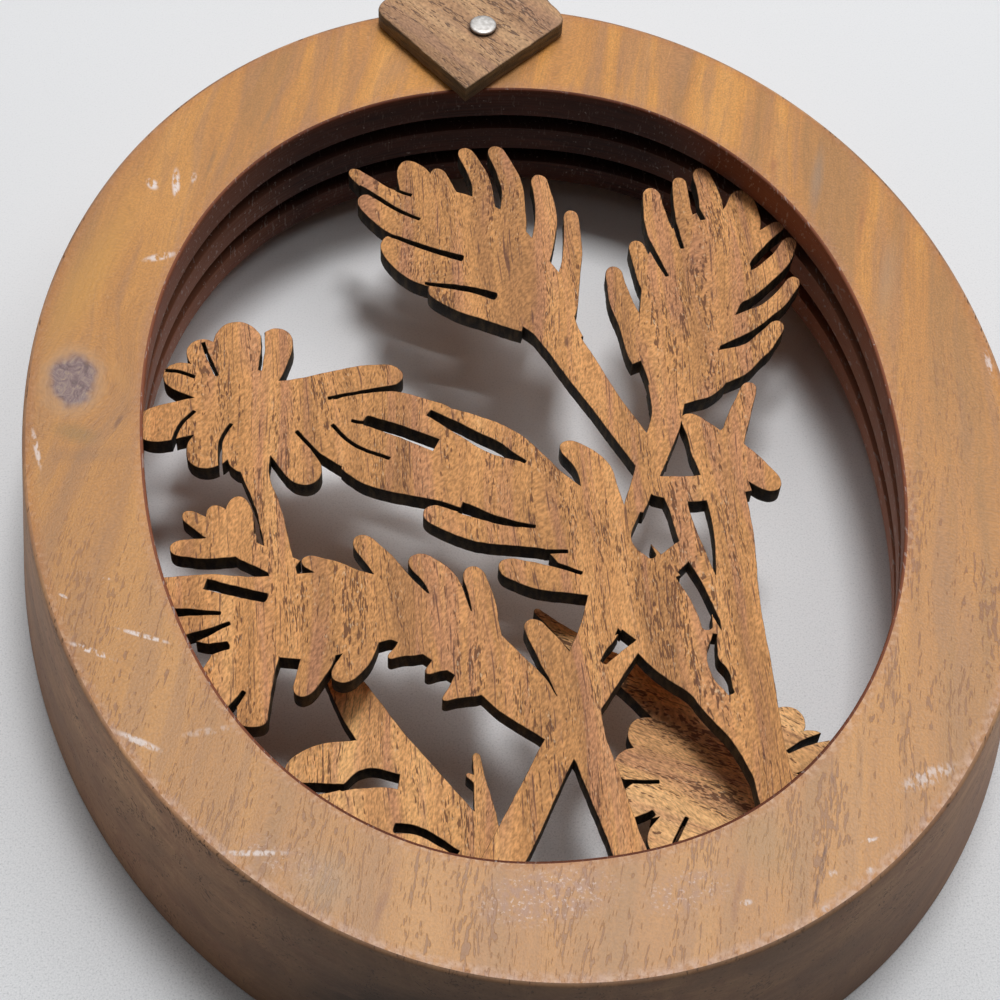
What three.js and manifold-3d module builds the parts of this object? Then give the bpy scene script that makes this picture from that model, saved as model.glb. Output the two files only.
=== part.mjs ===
// Carved wooden wall plaque: an oval ring with two fretwork layers and a pinned hanging tab.
//
// All sizes are in millimetres. The plaque lies flat with its pinned side up: +Z comes out of
// that face and +Y points to the hanging tab. The origin is on the underside, at the middle of
// the whole plaque's length and width.
//
// Two grooves run round the wall of the oval opening. Each holds a layer of flowers and leaves
// sawn from thin wood, sprung into the groove at the petals and stems that reach the ring.

import * as THREE from 'three';
import { mergeVertices } from 'three/addons/utils/BufferGeometryUtils.js';
import Module from 'manifold-3d';

const wasm = await Module();
wasm.setup();

// Ring: outline, face and walls
const ringWidth = 119.1;
const ringHeight = 143.2;
const ringSquareness = 2.04; // 2 would be a plain ellipse, more is squarer
const ringTaper = 0.01; // wider at the top and narrower at the foot by this share
const ringTopAside = -1; // hand-sawn, so its top leans this far to the left, its foot to the right
const sideFaceWidth = 14.6; // face of the ring, at its left and right
const endFaceWidth = 15.3; // face of the ring, at its top and bottom
const openingSquareness = 2.2;
const openingTaper = 0.03; // as the ring's own taper
const openingTopAside = 0.4; // its top leans the other way, to the right
const openingAside = -0.4; // the opening sits this far to the left of the middle of the ring
const openingDrop = 1.3; // and this much below it
const outerSplayWidth = 3.4; // each wall leans out by this much from the face to the underside
const openingSplayWidth = 3;
const ovalSteps = 96;
const edgeBreak = 0.4; // sanded edge
const undersideBevel = 4.5;

// Fretwork sheets
const sheetThickness = 2.5;
const sheetFaceClearance = 0.15; // between a sheet and each side of its groove
const sheetEndClearance = 0.3; // from a stem's end to the bottom of its groove
const kerfWidth = 0.45; // one saw cut

// Drawing of the leaves: its unit, and the opening that its places were drawn for
const drawingUnitLength = 1;
const drawnOpening = { width: 89.9, height: 112.6, drop: 1.3 };

// Wall of the opening, from the face down: lip, groove, band, groove and lower wall
const lipDepth = 5.5;
const bandDepth = 4.5;
const lowerWallDepth = 8.4;
const grooveDepth = 2.5;
const grooveWidth = sheetThickness + 2 * sheetFaceClearance;
const ringDepth = lipDepth + grooveWidth + bandDepth + grooveWidth + lowerWallDepth;

// Hanging tab and its pin
const tabThickness = 2.5;
const tabLowerSide = 19.8; // straight side from the lower corner to each side corner
const tabLowerHalfAngle = 42.6; // degrees from the tab's axis to each lower side
const tabUpperHalfAngle = 36.5; // degrees from the tab's axis to each upper side
const tabSideRadius = 2.6;
const tabTopRadius = 4;
const tabPinHeight = 12; // pin above the lower corner, along the tab's axis
const tabPinAside = 1.8; // pin to the right of the tab's axis
const tabHoleHeight = 23; // hanging hole above the lower corner
const tabHoleDiameter = 6;
const tabTurn = -8.9; // degrees, as it was found, turned clockwise
const pinFromRingEdge = 7.3; // pin below the top edge of the ring's face
const pinFromRingMiddle = 2.2; // pin to the right of the ring's middle
const pinDiameter = 1.8;
const pinHeadDiameter = 3.7;
const pinHeadThickness = 0.5;
const pinLength = 15; // from the underside of the head to the point
const pinPointLength = 1.5;
const pinPointDiameter = 0.5;
const pinHeadChamfer = 0.15;
const pinRadialClearance = 0.08;
const runningGap = 0.2; // between the ring, the turning tab and the pin's head
const roundSides = 24;

const degree = Math.PI / 180;
const openingWidth = ringWidth - 2 * sideFaceWidth;
const openingHeight = ringHeight - 2 * endFaceWidth;
const pinPlace = { x: pinFromRingMiddle, y: ringHeight / 2 - pinFromRingEdge };

// Point of an oval, for a turn measured in radians.
function ovalPoint(oval, turn) {
  const cos = Math.cos(turn);
  const sin = Math.sin(turn);
  const power = 2 / oval.squareness;
  const across = Math.sign(cos) * Math.abs(cos) ** power;
  const up = Math.sign(sin) * Math.abs(sin) ** power;
  const x = oval.halfWidth * across * (1 + oval.taper * up) + oval.topAside * up + oval.aside;
  return new THREE.Vector2(x, oval.halfHeight * up - oval.drop);
}

// Ovals of the ring's outside and of its opening at a depth below the face.
function outsideAt(depth, offset = 0) {
  const grown = offset + outerSplayWidth * depth / ringDepth;
  return {
    halfWidth: ringWidth / 2 + grown,
    halfHeight: ringHeight / 2 + grown,
    squareness: ringSquareness,
    taper: ringTaper,
    topAside: ringTopAside,
    aside: 0,
    drop: 0,
  };
}

function openingAt(depth, offset = 0) {
  const grown = offset + openingSplayWidth * depth / ringDepth;
  return {
    halfWidth: openingWidth / 2 + grown,
    halfHeight: openingHeight / 2 + grown,
    squareness: openingSquareness,
    taper: openingTaper,
    topAside: openingTopAside,
    aside: openingAside,
    drop: openingDrop,
  };
}

// Turns a closed three.js geometry into a solid that can be joined and cut.
function solidOf(geometry) {
  const plain = geometry.clone();
  plain.deleteAttribute('normal');
  plain.deleteAttribute('uv');
  const merged = mergeVertices(plain, 1e-5);
  const mesh = new wasm.Mesh({
    numProp: 3,
    vertProperties: new Float32Array(merged.attributes.position.array),
    triVerts: new Uint32Array(merged.index.array),
  });
  return new wasm.Manifold(mesh);
}

function geometryOf(solid) {
  const mesh = solid.getMesh();
  const geometry = new THREE.BufferGeometry();
  const positions = new Float32Array(mesh.vertProperties);
  geometry.setAttribute('position', new THREE.BufferAttribute(positions, 3));
  geometry.setIndex(new THREE.BufferAttribute(new Uint32Array(mesh.triVerts), 1));
  geometry.computeVertexNormals();
  return geometry;
}

function prism(shape, thickness, bottom = 0) {
  const geometry = new THREE.ExtrudeGeometry(shape, { depth: thickness, bevelEnabled: false });
  geometry.translate(0, 0, bottom);
  return solidOf(geometry);
}

function wood(color) {
  return new THREE.MeshStandardMaterial({ color, roughness: 0.7, metalness: 0 });
}

// Ring: one closed profile carried round the oval
function ringProfile() {
  const firstGroove = lipDepth;
  const firstGrooveEnd = firstGroove + grooveWidth;
  const secondGroove = firstGrooveEnd + bandDepth;
  const secondGrooveEnd = secondGroove + grooveWidth;
  const bevelStart = ringDepth - undersideBevel;
  return [
    [outsideAt(0, -edgeBreak), 0],
    [openingAt(0, edgeBreak), 0],
    [openingAt(edgeBreak), edgeBreak],
    [openingAt(firstGroove), firstGroove],
    [openingAt(firstGroove, grooveDepth), firstGroove],
    [openingAt(firstGroove, grooveDepth), firstGrooveEnd],
    [openingAt(firstGrooveEnd), firstGrooveEnd],
    [openingAt(secondGroove), secondGroove],
    [openingAt(secondGroove, grooveDepth), secondGroove],
    [openingAt(secondGroove, grooveDepth), secondGrooveEnd],
    [openingAt(secondGrooveEnd), secondGrooveEnd],
    [openingAt(bevelStart), bevelStart],
    [openingAt(ringDepth, undersideBevel), ringDepth],
    [outsideAt(ringDepth, -edgeBreak), ringDepth],
    [outsideAt(ringDepth - edgeBreak), ringDepth - edgeBreak],
    [outsideAt(edgeBreak), edgeBreak],
  ];
}

function ringSolid() {
  const profile = ringProfile();
  const positions = [];
  const faces = [];
  for (let step = 0; step < ovalSteps; step += 1) {
    const turn = 2 * Math.PI * step / ovalSteps;
    for (const [oval, depth] of profile) {
      const point = ovalPoint(oval, turn);
      positions.push(point.x, point.y, ringDepth - depth);
    }
  }
  const count = profile.length;
  for (let step = 0; step < ovalSteps; step += 1) {
    const here = step * count;
    const next = ((step + 1) % ovalSteps) * count;
    for (let corner = 0; corner < count; corner += 1) {
      const after = (corner + 1) % count;
      faces.push(here + corner, next + after, here + after);
      faces.push(here + corner, next + corner, next + after);
    }
  }
  const geometry = new THREE.BufferGeometry();
  geometry.setAttribute('position', new THREE.Float32BufferAttribute(positions, 3));
  geometry.setIndex(faces);
  return solidOf(geometry);
}

function pinHole(top, length, radius) {
  const hole = new THREE.CylinderGeometry(radius, radius, length, roundSides);
  hole.rotateX(Math.PI / 2);
  hole.translate(pinPlace.x, pinPlace.y, top - length / 2);
  return solidOf(hole);
}

function frameRing() {
  const overTop = 1;
  const depthInRing = pinLength - tabThickness - 2 * runningGap;
  const hole = pinHole(
    ringDepth + overTop,
    depthInRing + runningGap + overTop,
    pinDiameter / 2 + pinRadialClearance,
  );
  return geometryOf(ringSolid().subtract(hole));
}

// Fretwork: every leaf, petal and stem is a blade, a curved strip with a round tip
function place([x, y]) {
  const drawnX = x * drawingUnitLength;
  const drawnY = y * drawingUnitLength + drawnOpening.drop;
  return new THREE.Vector2(
    drawnX * openingWidth / drawnOpening.width,
    drawnY * openingHeight / drawnOpening.height - openingDrop,
  );
}

// Width along a blade, eased between the widths given at its points.
function widthAlong(widths, t) {
  const span = t * (widths.length - 1);
  const index = Math.min(Math.floor(span), widths.length - 2);
  const ease = (1 - Math.cos(Math.PI * (span - index))) / 2;
  return widths[index] * (1 - ease) + widths[index + 1] * ease;
}

// Steps of a blade's outline: round its tip, and from each point of its middle line to the next
const tipSteps = 4;
const stepsPerSpan = 5;

// points run from the tip to the root, with one full width for each point, both in units of the
// drawing. tipRoundness is the length of the rounded tip, in widths: 0.5 is a half circle, less is
// blunter, more is sharper.
function blade(points, drawnWidths, tipRoundness = 0.65) {
  const line = new THREE.SplineCurve(points.map(place));
  const widths = drawnWidths.map((width) => width * drawingUnitLength);
  const tipShare = Math.min(tipRoundness * widths[0] / line.getLength(), 0.5);
  const bodySteps = stepsPerSpan * (points.length - 1);
  const stations = [];
  for (let step = 1; step <= tipSteps; step += 1) {
    const angle = Math.PI / 2 * step / tipSteps;
    stations.push({ t: tipShare * (1 - Math.cos(angle)), fullness: Math.sin(angle) });
  }
  for (let step = 1; step <= bodySteps; step += 1) {
    stations.push({ t: 1 - (1 - tipShare) * (bodySteps - step) / bodySteps, fullness: 1 });
  }
  const left = [];
  const right = [];
  for (const { t, fullness } of stations) {
    const centre = line.getPointAt(t);
    const along = line.getTangentAt(t);
    const half = widthAlong(widths, t) / 2 * fullness;
    left.push(new THREE.Vector2(centre.x - along.y * half, centre.y + along.x * half));
    right.push(new THREE.Vector2(centre.x + along.y * half, centre.y - along.x * half));
  }
  return new THREE.Shape([line.getPointAt(0), ...right, ...left.reverse()]);
}

const petalRootShare = 0.6; // of a petal's width, where it meets the centre

// A daisy's petals stand round its centre: each has a bearing in degrees, a reach and a width.
function petals(centre, list) {
  return list.map(([bearing, reach, width]) => {
    const tip = [
      centre[0] + reach * Math.cos(bearing * degree),
      centre[1] + reach * Math.sin(bearing * degree),
    ];
    const middle = [(tip[0] + centre[0]) / 2, (tip[1] + centre[1]) / 2];
    return blade([tip, middle, centre], [width, width, width * petalRootShare]);
  });
}

const bluntEnd = 0.2;
const kerf = kerfWidth / drawingUnitLength;

// A saw cut of one kerf, or opening to a wider slot.
function slit(points, startWidth = kerf, endWidth = kerf) {
  const step = (endWidth - startWidth) / (points.length - 1);
  const widths = points.map((_, index) => startWidth + step * index);
  return blade(points, widths, bluntEnd);
}

function sheet(blades, cuts, grooveStart) {
  const reach = openingAt(grooveStart, grooveDepth - sheetEndClearance);
  const rim = [];
  for (let step = 0; step < ovalSteps; step += 1) {
    rim.push(ovalPoint(reach, 2 * Math.PI * step / ovalSteps));
  }
  const blank = prism(new THREE.Shape(rim), sheetThickness);
  const cutBeyond = 1;
  let solid = prism(blades[0], sheetThickness);
  for (const shape of blades.slice(1)) {
    solid = solid.add(prism(shape, sheetThickness));
  }
  solid = solid.intersect(blank);
  for (const shape of cuts) {
    solid = solid.subtract(prism(shape, sheetThickness + 2 * cutBeyond, -cutBeyond));
  }
  return geometryOf(solid);
}

// Upper left leaf: fingers fanned from a broad palm on a long stem
function upperLeftLeaf() {
  return [
    blade([[-7, 42], [-2, 34], [3, 26], [7.5, 15]], [7, 12, 10, 5]),
    blade([[-17.5, 47.2], [-15.3, 44.5], [-12.8, 42], [-6, 37]], [1.8, 2.6, 3, 4]),
    blade([[-16.5, 42.3], [-12.5, 37.6], [-5, 32.5]], [2.8, 4.3, 5]),
    blade([[-13.8, 34.8], [-9.6, 29.4], [-1, 25.5]], [4, 5.6, 5.6]),
    blade([[-9, 25.9], [-4.6, 22.8], [3, 19.5]], [2.6, 3.6, 4.6]),
    blade([[-10.1, 48.2], [-8.9, 44.6], [-8.2, 41.5], [-5, 36]], [3.2, 5, 7, 6]),
    blade([[-6, 46.5], [-4.6, 40], [-2, 33]], [2.2, 3.2, 5]),
    blade([[-2, 50], [-0.2, 43.5], [-0.6, 36]], [2.2, 2.7, 3.4]),
    blade([[2.2, 50], [3.9, 42], [2.4, 33]], [2.4, 3, 4.4]),
    blade([[7.6, 44.3], [7.7, 36], [4.6, 26]], [2.2, 3, 3.2]),
    blade([[11.2, 37.5], [10.2, 29], [7.2, 20]], [2, 2.6, 4.4]),
    blade([[4.4, 22], [7.4, 14.5], [11.2, 5], [15.6, -5]], [6, 4.8, 4, 4]),
  ];
}

function upperLeftLeafCuts() {
  return [
    slit([[-9, 37.5], [-11.9, 39.5], [-14, 41.6], [-16.6, 44]], kerf, 0.7),
    slit([[-11.7, 43], [-10.7, 42.4], [-9.7, 41.9]]),
    slit([[-4, 30.2], [-8.4, 32.3], [-13.8, 35.4]], 1, 0.5),
    slit([[-0.4, 23.4], [-4, 25], [-9.4, 26.4]], 1.2, 0.5),
  ];
}

// Upper right leaf: fingers up both sides of a tapering blade
function upperRightLeaf() {
  return [
    blade([[31, 36], [26.6, 26], [22, 15], [18.6, 4]], [7, 14, 11, 4]),
    blade([[15.3, 27.3], [15.7, 20], [18.4, 12]], [2.2, 3.2, 6.4]),
    blade([[18.9, 31.5], [19.7, 24], [21.5, 15]], [2.2, 2.8, 3]),
    blade([[22.5, 40.7], [22.5, 33], [24.5, 23]], [2.4, 3.6, 4]),
    blade([[26.7, 42.3], [26.2, 35], [26.6, 27]], [2, 2.4, 3]),
    blade([[29.7, 43.8], [30.2, 37], [28.6, 29]], [2.4, 3.2, 4]),
    blade([[34.6, 39.3], [33.6, 34], [29, 26]], [3.2, 6.2, 6]),
    blade([[39.2, 32.9], [35.8, 30.5], [30, 25]], [1.8, 2.4, 4]),
    blade([[39.9, 30.3], [37.2, 26.2], [31.4, 21.9], [26, 19.8]], [2, 2.8, 3.6, 4]),
    blade([[39.2, 23.4], [35.2, 19], [29.4, 15.8], [24, 14]], [1.8, 2.2, 3.4, 4]),
    blade([[35.6, 16.2], [31.4, 11.9], [26.6, 9.6], [22, 9]], [2, 2.9, 5, 6]),
    blade([[27, 9.6], [23, 7.4], [19.4, 5]], [5, 5.4, 3]),
  ];
}

function upperRightLeafCuts() {
  return [
    slit([[22.2, 25], [21.4, 28], [20.4, 31.6]], kerf, 0.9),
    slit([[25, 29.6], [24.7, 34], [24.3, 40]], 0.5, 0.7),
    slit([[28.6, 34.4], [28, 38], [28, 43]], 0.7, 0.9),
  ];
}

// Daisy: a ring of petals, with saw cuts between those that touch
const daisyCentre = [-32.5, 9];

function frontDaisy() {
  return [
    ...petals(daisyCentre, [
      [98, 13.2, 6.4],
      [70, 12.2, 4.8],
      [124, 12.4, 4.6],
      [150, 12.2, 4.6],
      [191, 14.8, 5.6],
      [230, 11.6, 5.8],
      [262, 10.6, 5],
      [298, 14.4, 4.6],
      [332, 18.4, 5],
    ]),
    blade([[-13.6, 11.8], [-19, 11.6], [-25, 10.4], [-32, 9]], [3.6, 4.1, 4.4, 6]),
    blade([[-28.6, 7.5], [-25, 7.5], [-21.4, 7.2]], [2.8, 2.8, 2.8], bluntEnd),
    blade([[-26.2, 3.4], [-23.6, 0.9], [-20.6, -1.1]], [2, 2.6, 2.2]),
    blade([[-33, 4], [-32.6, -2], [-31.2, -8], [-29.8, -20]], [5, 2.9, 3, 3.6], bluntEnd),
  ];
}

function frontDaisyCuts() {
  return [
    slit([[-39.6, 8.4], [-41.6, 6], [-42.6, 3]]),
    slit([[-35.2, 6], [-36.6, 3.4], [-36.8, -1]]),
    slit([[-36.6, 13.6], [-37.4, 16], [-38.2, 19]]),
    slit([[-31.3, 14], [-30.8, 17], [-30.6, 20]]),
    slit([[-39.4, 13.6], [-41.2, 14.6], [-43, 15]]),
    slit([[-27.4, 4.2], [-25, 0.6], [-22.4, -1.8]]),
    slit([[-23, 4.8], [-20.4, 1.4], [-16.4, -0.9]]),
    slit([[-23.2, 8.9], [-19, 9.5], [-13.6, 10.2]]),
  ];
}

// Bud on the daisy's stem
function smallBud() {
  return [
    blade([[-34.9, -4.8], [-35, -8], [-35.4, -13]], [2.6, 3.8, 4]),
    blade([[-41.4, -6.6], [-38.6, -9], [-34, -12.4]], [1.8, 2.6, 3.4]),
    blade([[-38, -5.9], [-37, -8.6], [-35.6, -12]], [2.4, 3, 3.4]),
    blade([[-43.2, -11.4], [-38.6, -11.9], [-33, -11.8]], [2.2, 3, 3]),
    blade([[-36, -11.4], [-33, -13.4], [-29, -16]], [3, 3, 3.4]),
  ];
}

// Long leaf from the daisy to the middle stem, with three lobes of its own
function longLeaf() {
  return [
    blade([[-25, 6.6], [-16, 1.7], [-6, -2.6], [2, -9.4], [8, -18]], [8, 14.4, 13.6, 9.4, 10]),
    blade([[-23, 7.5], [-19, 7.6], [-15.4, 7.3], [-12.2, 5.9], [-6.5, 3]], [2.4, 3.4, 4.2, 4.4, 3]),
    blade([[-13, -8.8], [-6.4, -12.2], [5, -13.8]], [2.8, 3.8, 5]),
    blade([[-5, -17.2], [0, -19.4], [8, -20.6]], [2.8, 3.9, 5]),
    blade([[4.8, -0.4], [8.2, -5], [8, -13]], [2.6, 4.4, 6.4]),
  ];
}

function longLeafCuts() {
  return [
    slit([[-19, 5.2], [-15, 3.2], [-10.6, 0.6]], 1.5, 1.9),
    slit([[-20.6, 5.2], [-19.7, 4.9], [-18.4, 4.7]]),
    blade([[0, -2.9], [-4.6, 0.4], [-8, 3.2], [-11, 5.6]], [kerf, 2, 1.6, 1], bluntEnd),
    slit([[0, -12.4], [-4, -11.2], [-8.6, -8.8]], kerf, 1.6),
    slit([[3.4, -16.2], [-1, -15.9], [-5.4, -15.6]], kerf, 1),
    slit([[4.6, -19.4], [1.8, -18], [-1, -16.8]], kerf, 0.8),
  ];
}

// Middle stem and the stems that cross and spread to the ring
function middleStems() {
  return [
    blade(
      [[19.4, 8], [18.2, 2], [15.4, -4], [13, -9], [10.8, -14], [9.4, -20]],
      [5, 3.8, 3.5, 2.8, 2, 4],
      bluntEnd,
    ),
    blade(
      [[7.4, -12], [9.2, -19], [11.7, -23.6], [15.1, -30.4], [19, -37.6], [23.4, -53]],
      [8, 10.6, 10.3, 7.3, 4.4, 4.4],
    ),
    blade(
      [[8.4, -20], [5.4, -27], [2.2, -34], [1.8, -40], [2.8, -45], [6, -62]],
      [5, 4.2, 5, 4.2, 3.7, 4.2],
      bluntEnd,
    ),
    blade(
      [[9, -28.6], [4, -34.8], [-0.6, -41], [-6.4, -50.5], [-13, -61]],
      [3.4, 3.6, 4, 4.4, 5],
      bluntEnd,
    ),
    blade([[-2.5, -25.1], [0, -30.6], [2, -37]], [2.4, 3.8, 4]),
    blade([[18.6, -27.8], [16.8, -30.4], [13.6, -32.6]], [1.4, 2, 3.6]),
  ];
}

function middleStemCuts() {
  return [
    slit([[5.2, -31.6], [7, -29.8], [8.8, -28.2]], 0.8, 2),
    blade([[19.2, -37], [18.4, -34.2], [17.9, -32], [18.7, -29]], [0.8, 2, 1.2, 0.5], bluntEnd),
    blade([[18, -28.4], [17.9, -25], [16.6, -20.6]], [1.2, 1.9, 2.2], 0.4),
    blade([[13.4, -18], [12.3, -15.4], [13.7, -11.8]], [1, 2.4, 2], 0.4),
  ];
}

// Star bud on the right and its two long stems
function starBud() {
  return [
    blade([[20.6, 2.6], [23, -2.4], [24.2, -10]], [2.4, 5.6, 5.4]),
    blade([[29.9, 6.8], [26.6, 0], [24, -7]], [2, 2.9, 4]),
    blade([[30.2, -9.6], [27, -5.6], [23.6, -1]], [3, 4, 4]),
    blade([[14.6, -7.6], [19, -8.6], [24, -8.4]], [3, 3.8, 4], bluntEnd),
    blade(
      [[23.4, -6], [23.5, -15], [22.4, -24], [21.9, -32], [21.6, -40], [22.2, -56]],
      [5, 4.8, 5, 5.4, 4.4, 4.4],
      bluntEnd,
    ),
    blade(
      [[17.3, -7], [17.6, -12.4], [18.2, -17], [19.2, -21], [20.8, -27]],
      [3.4, 2.4, 2.6, 2, 2.4],
      bluntEnd,
    ),
    blade([[18.4, -16.2], [16, -18.2], [12.4, -21]], [2.6, 3, 4.4]),
  ];
}

// Lower left leaf: lobes along both sides of a bowed rib that runs to the ring
function lowerLeftLeaf() {
  return [
    blade([[-48, -18], [-38, -20.3], [-29.6, -22], [-17, -22.4]], [6, 9.4, 11.6, 7.6], bluntEnd),
    blade([[-20, -21.6], [-12.4, -25.6], [-6, -32.6], [0.2, -41.4]], [7, 8, 7, 3.4], bluntEnd),
    blade([[-27.9, -14.4], [-24.8, -16.2], [-19, -20.4]], [1.8, 3.2, 5]),
    blade([[-21.3, -11.8], [-18.2, -16.6], [-14.4, -24]], [2.6, 3.4, 5]),
    blade([[-15.2, -15.2], [-11.8, -19.4], [-11, -27]], [2.8, 4, 5]),
    blade([[-8.4, -17.2], [-7.4, -23], [-8, -31]], [2.6, 3, 5]),
    blade([[-25.2, -31], [-22.2, -27.6], [-20.4, -22]], [3, 3.4, 4]),
    blade([[-29.4, -32.6], [-27.2, -28.4], [-25, -22]], [2.4, 3.8, 5]),
    blade([[-34.8, -36], [-34.1, -30.4], [-32.6, -23]], [3.4, 4, 5.4], 0.3),
    blade([[-43, -36], [-37.6, -29.6], [-33.4, -23.4]], [4, 5.6, 7], bluntEnd),
    blade([[-48, -22.6], [-42, -21.9], [-36, -21.8]], [2.2, 2.2, 2.6], bluntEnd),
    blade([[-19, -28.6], [-15, -26.4], [-10, -24]], [0.9, 4.6, 7]),
    blade([[-15, -31], [-11.8, -29], [-8, -27]], [0.9, 3.6, 6]),
    blade([[-13.4, -34.6], [-9.4, -32.2], [-5, -30]], [0.9, 4.6, 7]),
  ];
}

function lowerLeftLeafCuts() {
  return [
    slit([[-32.2, -19.4], [-35.6, -18.2], [-39.2, -16.8]], 1.2, 1.4),
    slit([[-37.6, -20.9], [-42, -20.4], [-48, -19.9]], kerf, 1.6),
    slit([[-36.6, -22.3], [-40, -23.6], [-46, -25.4]], kerf, 2),
    slit([[-36.8, -25.2], [-39, -25.6], [-44, -26.8]], 1, 2.4),
    slit([[-35.4, -31.4], [-36.6, -33], [-38.6, -35.6]], 0.5, 1.2),
  ];
}

function frontFretwork() {
  return sheet(
    [
      ...upperLeftLeaf(),
      ...upperRightLeaf(),
      ...frontDaisy(),
      ...smallBud(),
      ...longLeaf(),
      ...middleStems(),
      ...starBud(),
      ...lowerLeftLeaf(),
    ],
    [
      ...upperLeftLeafCuts(),
      ...upperRightLeafCuts(),
      ...frontDaisyCuts(),
      ...longLeafCuts(),
      ...middleStemCuts(),
      ...lowerLeftLeafCuts(),
    ],
    lipDepth,
  );
}

// Back layer, left: a stem with a curled leaf and a blade of grass
function backLeftSpray() {
  const blades = [
    blade([[-25.6, -23], [-22.4, -31], [-17, -41], [-10, -52], [-6, -62]], [3.4, 5, 6, 6, 5]),
    blade([[-31.6, -38.6], [-27.4, -37.5], [-19.6, -38]], [3.4, 5.4, 6]),
    blade([[-38, -47], [-29, -43.6], [-18, -44.4]], [7, 5.4, 6.6], bluntEnd),
    blade([[-24, -48], [-18, -46.6], [-13, -49]], [7, 5.4, 6], bluntEnd),
    blade([[-9.8, -37.8], [-9.6, -45], [-9, -55]], [0.9, 2.4, 3.6]),
    blade([[-11.2, -40.4], [-10.2, -41.2], [-9.4, -42.4]], [0.7, 0.9, 1.2]),
  ];
  const cuts = [
    slit([[-28.4, -41], [-26.4, -40.9], [-24.6, -40.4]]),
    blade([[-25.6, -40.9], [-22.2, -39.8], [-18.9, -40.6]], [0.6, 2.4, 1.8], 0.4),
    slit([[-20, -46.2], [-17, -47], [-13.2, -50]], 1.2, 0.7),
  ];
  return sheet(blades, cuts, lipDepth + grooveWidth + bandDepth);
}

// Back layer, right: a daisy turned on its side, with one long leaf
const backDaisyCentre = [18.6, -44];

function backDaisy() {
  const blades = [
    ...petals(backDaisyCentre, [
      [17, 13.2, 4.6],
      [39, 12.6, 5],
      [66, 9.4, 5],
      [92, 8.6, 5],
      [118, 9.6, 5.2],
      [142, 13, 5.4],
      [165, 13.2, 5],
      [189, 13, 4.8],
      [219, 13, 5],
      [242, 14, 5.4],
      [272, 14, 6],
      [306, 15, 6],
      [338, 17, 6],
    ]),
    blade([[-0.6, -19.4], [4.6, -25.4], [12, -31.9], [18.6, -42]], [0.9, 3.2, 5.6, 6]),
  ];
  const cuts = [
    slit([[10.6, -43.5], [8.4, -43.3], [5, -42.9]]),
    blade([[9.4, -47.2], [7.2, -48.4], [3.4, -50.2]], [0.7, 1.8, 3.2], bluntEnd),
    slit([[13, -48.2], [11.8, -50], [10, -53]]),
    slit([[26, -41.2], [28.4, -40.2], [32, -39.4]], kerf, 1.3),
  ];
  return sheet(blades, cuts, lipDepth + grooveWidth + bandDepth);
}

// Hanging tab: a kite with a sharp lower corner, drawn about its pin
function roundedCorner(shape, before, corner, after, radius) {
  const toBefore = before.clone().sub(corner).normalize();
  const toAfter = after.clone().sub(corner).normalize();
  const setback = radius / Math.tan(Math.acos(toBefore.dot(toAfter)) / 2);
  const start = corner.clone().addScaledVector(toBefore, setback);
  const end = corner.clone().addScaledVector(toAfter, setback);
  shape.lineTo(start.x, start.y);
  shape.quadraticCurveTo(corner.x, corner.y, end.x, end.y);
}

function roundHole(x, y, diameter) {
  const hole = new THREE.Path();
  hole.absarc(x, y, diameter / 2, 0, 2 * Math.PI, true);
  return hole;
}

function hangerTab() {
  const halfWidth = tabLowerSide * Math.sin(tabLowerHalfAngle * degree);
  const sideHeight = tabLowerSide * Math.cos(tabLowerHalfAngle * degree);
  const height = sideHeight + halfWidth / Math.tan(tabUpperHalfAngle * degree);
  const lower = new THREE.Vector2(-tabPinAside, -tabPinHeight);
  const right = new THREE.Vector2(halfWidth, sideHeight).add(lower);
  const left = new THREE.Vector2(-halfWidth, sideHeight).add(lower);
  const top = new THREE.Vector2(0, height).add(lower);
  const outline = new THREE.Shape();
  outline.moveTo(lower.x, lower.y);
  roundedCorner(outline, lower, right, top, tabSideRadius);
  roundedCorner(outline, right, top, left, tabTopRadius);
  roundedCorner(outline, top, left, lower, tabSideRadius);
  outline.closePath();
  outline.holes.push(roundHole(lower.x, lower.y + tabHoleHeight, tabHoleDiameter));
  outline.holes.push(roundHole(0, 0, pinDiameter + 2 * pinRadialClearance));
  return new THREE.ExtrudeGeometry(outline, {
    depth: tabThickness,
    bevelEnabled: false,
    curveSegments: roundSides / 2,
  });
}

// Pin: a flat-headed tack, turned about its axis, with the underside of its head at zero
function tabPin() {
  const shank = pinDiameter / 2;
  const head = pinHeadDiameter / 2;
  const profile = [
    [0, -pinLength],
    [pinPointDiameter / 2, -pinLength],
    [shank, -pinLength + pinPointLength],
    [shank, 0],
    [head, 0],
    [head, pinHeadThickness - pinHeadChamfer],
    [head - pinHeadChamfer, pinHeadThickness],
    [0, pinHeadThickness],
  ];
  const points = profile.map(([radius, height]) => new THREE.Vector2(radius, height));
  const geometry = new THREE.LatheGeometry(points, roundSides);
  geometry.rotateX(Math.PI / 2);
  return geometry;
}

// Places: heights above the underside
const frontSheetBottom = ringDepth - lipDepth - grooveWidth + sheetFaceClearance;
const backSheetBottom = frontSheetBottom - bandDepth - grooveWidth;
const tabBottom = ringDepth + runningGap;
const pinHeadBottom = tabBottom + tabThickness + runningGap;

function addPiece(name, geometry, material, parent, z) {
  const piece = new THREE.Mesh(geometry, material);
  piece.name = name;
  piece.position.z = z;
  parent.add(piece);
}

const plaque = new THREE.Group();
const tabPlace = new THREE.Group();
tabPlace.position.set(pinPlace.x, pinPlace.y, 0);
tabPlace.rotation.z = tabTurn * degree;
plaque.add(tabPlace);

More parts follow.
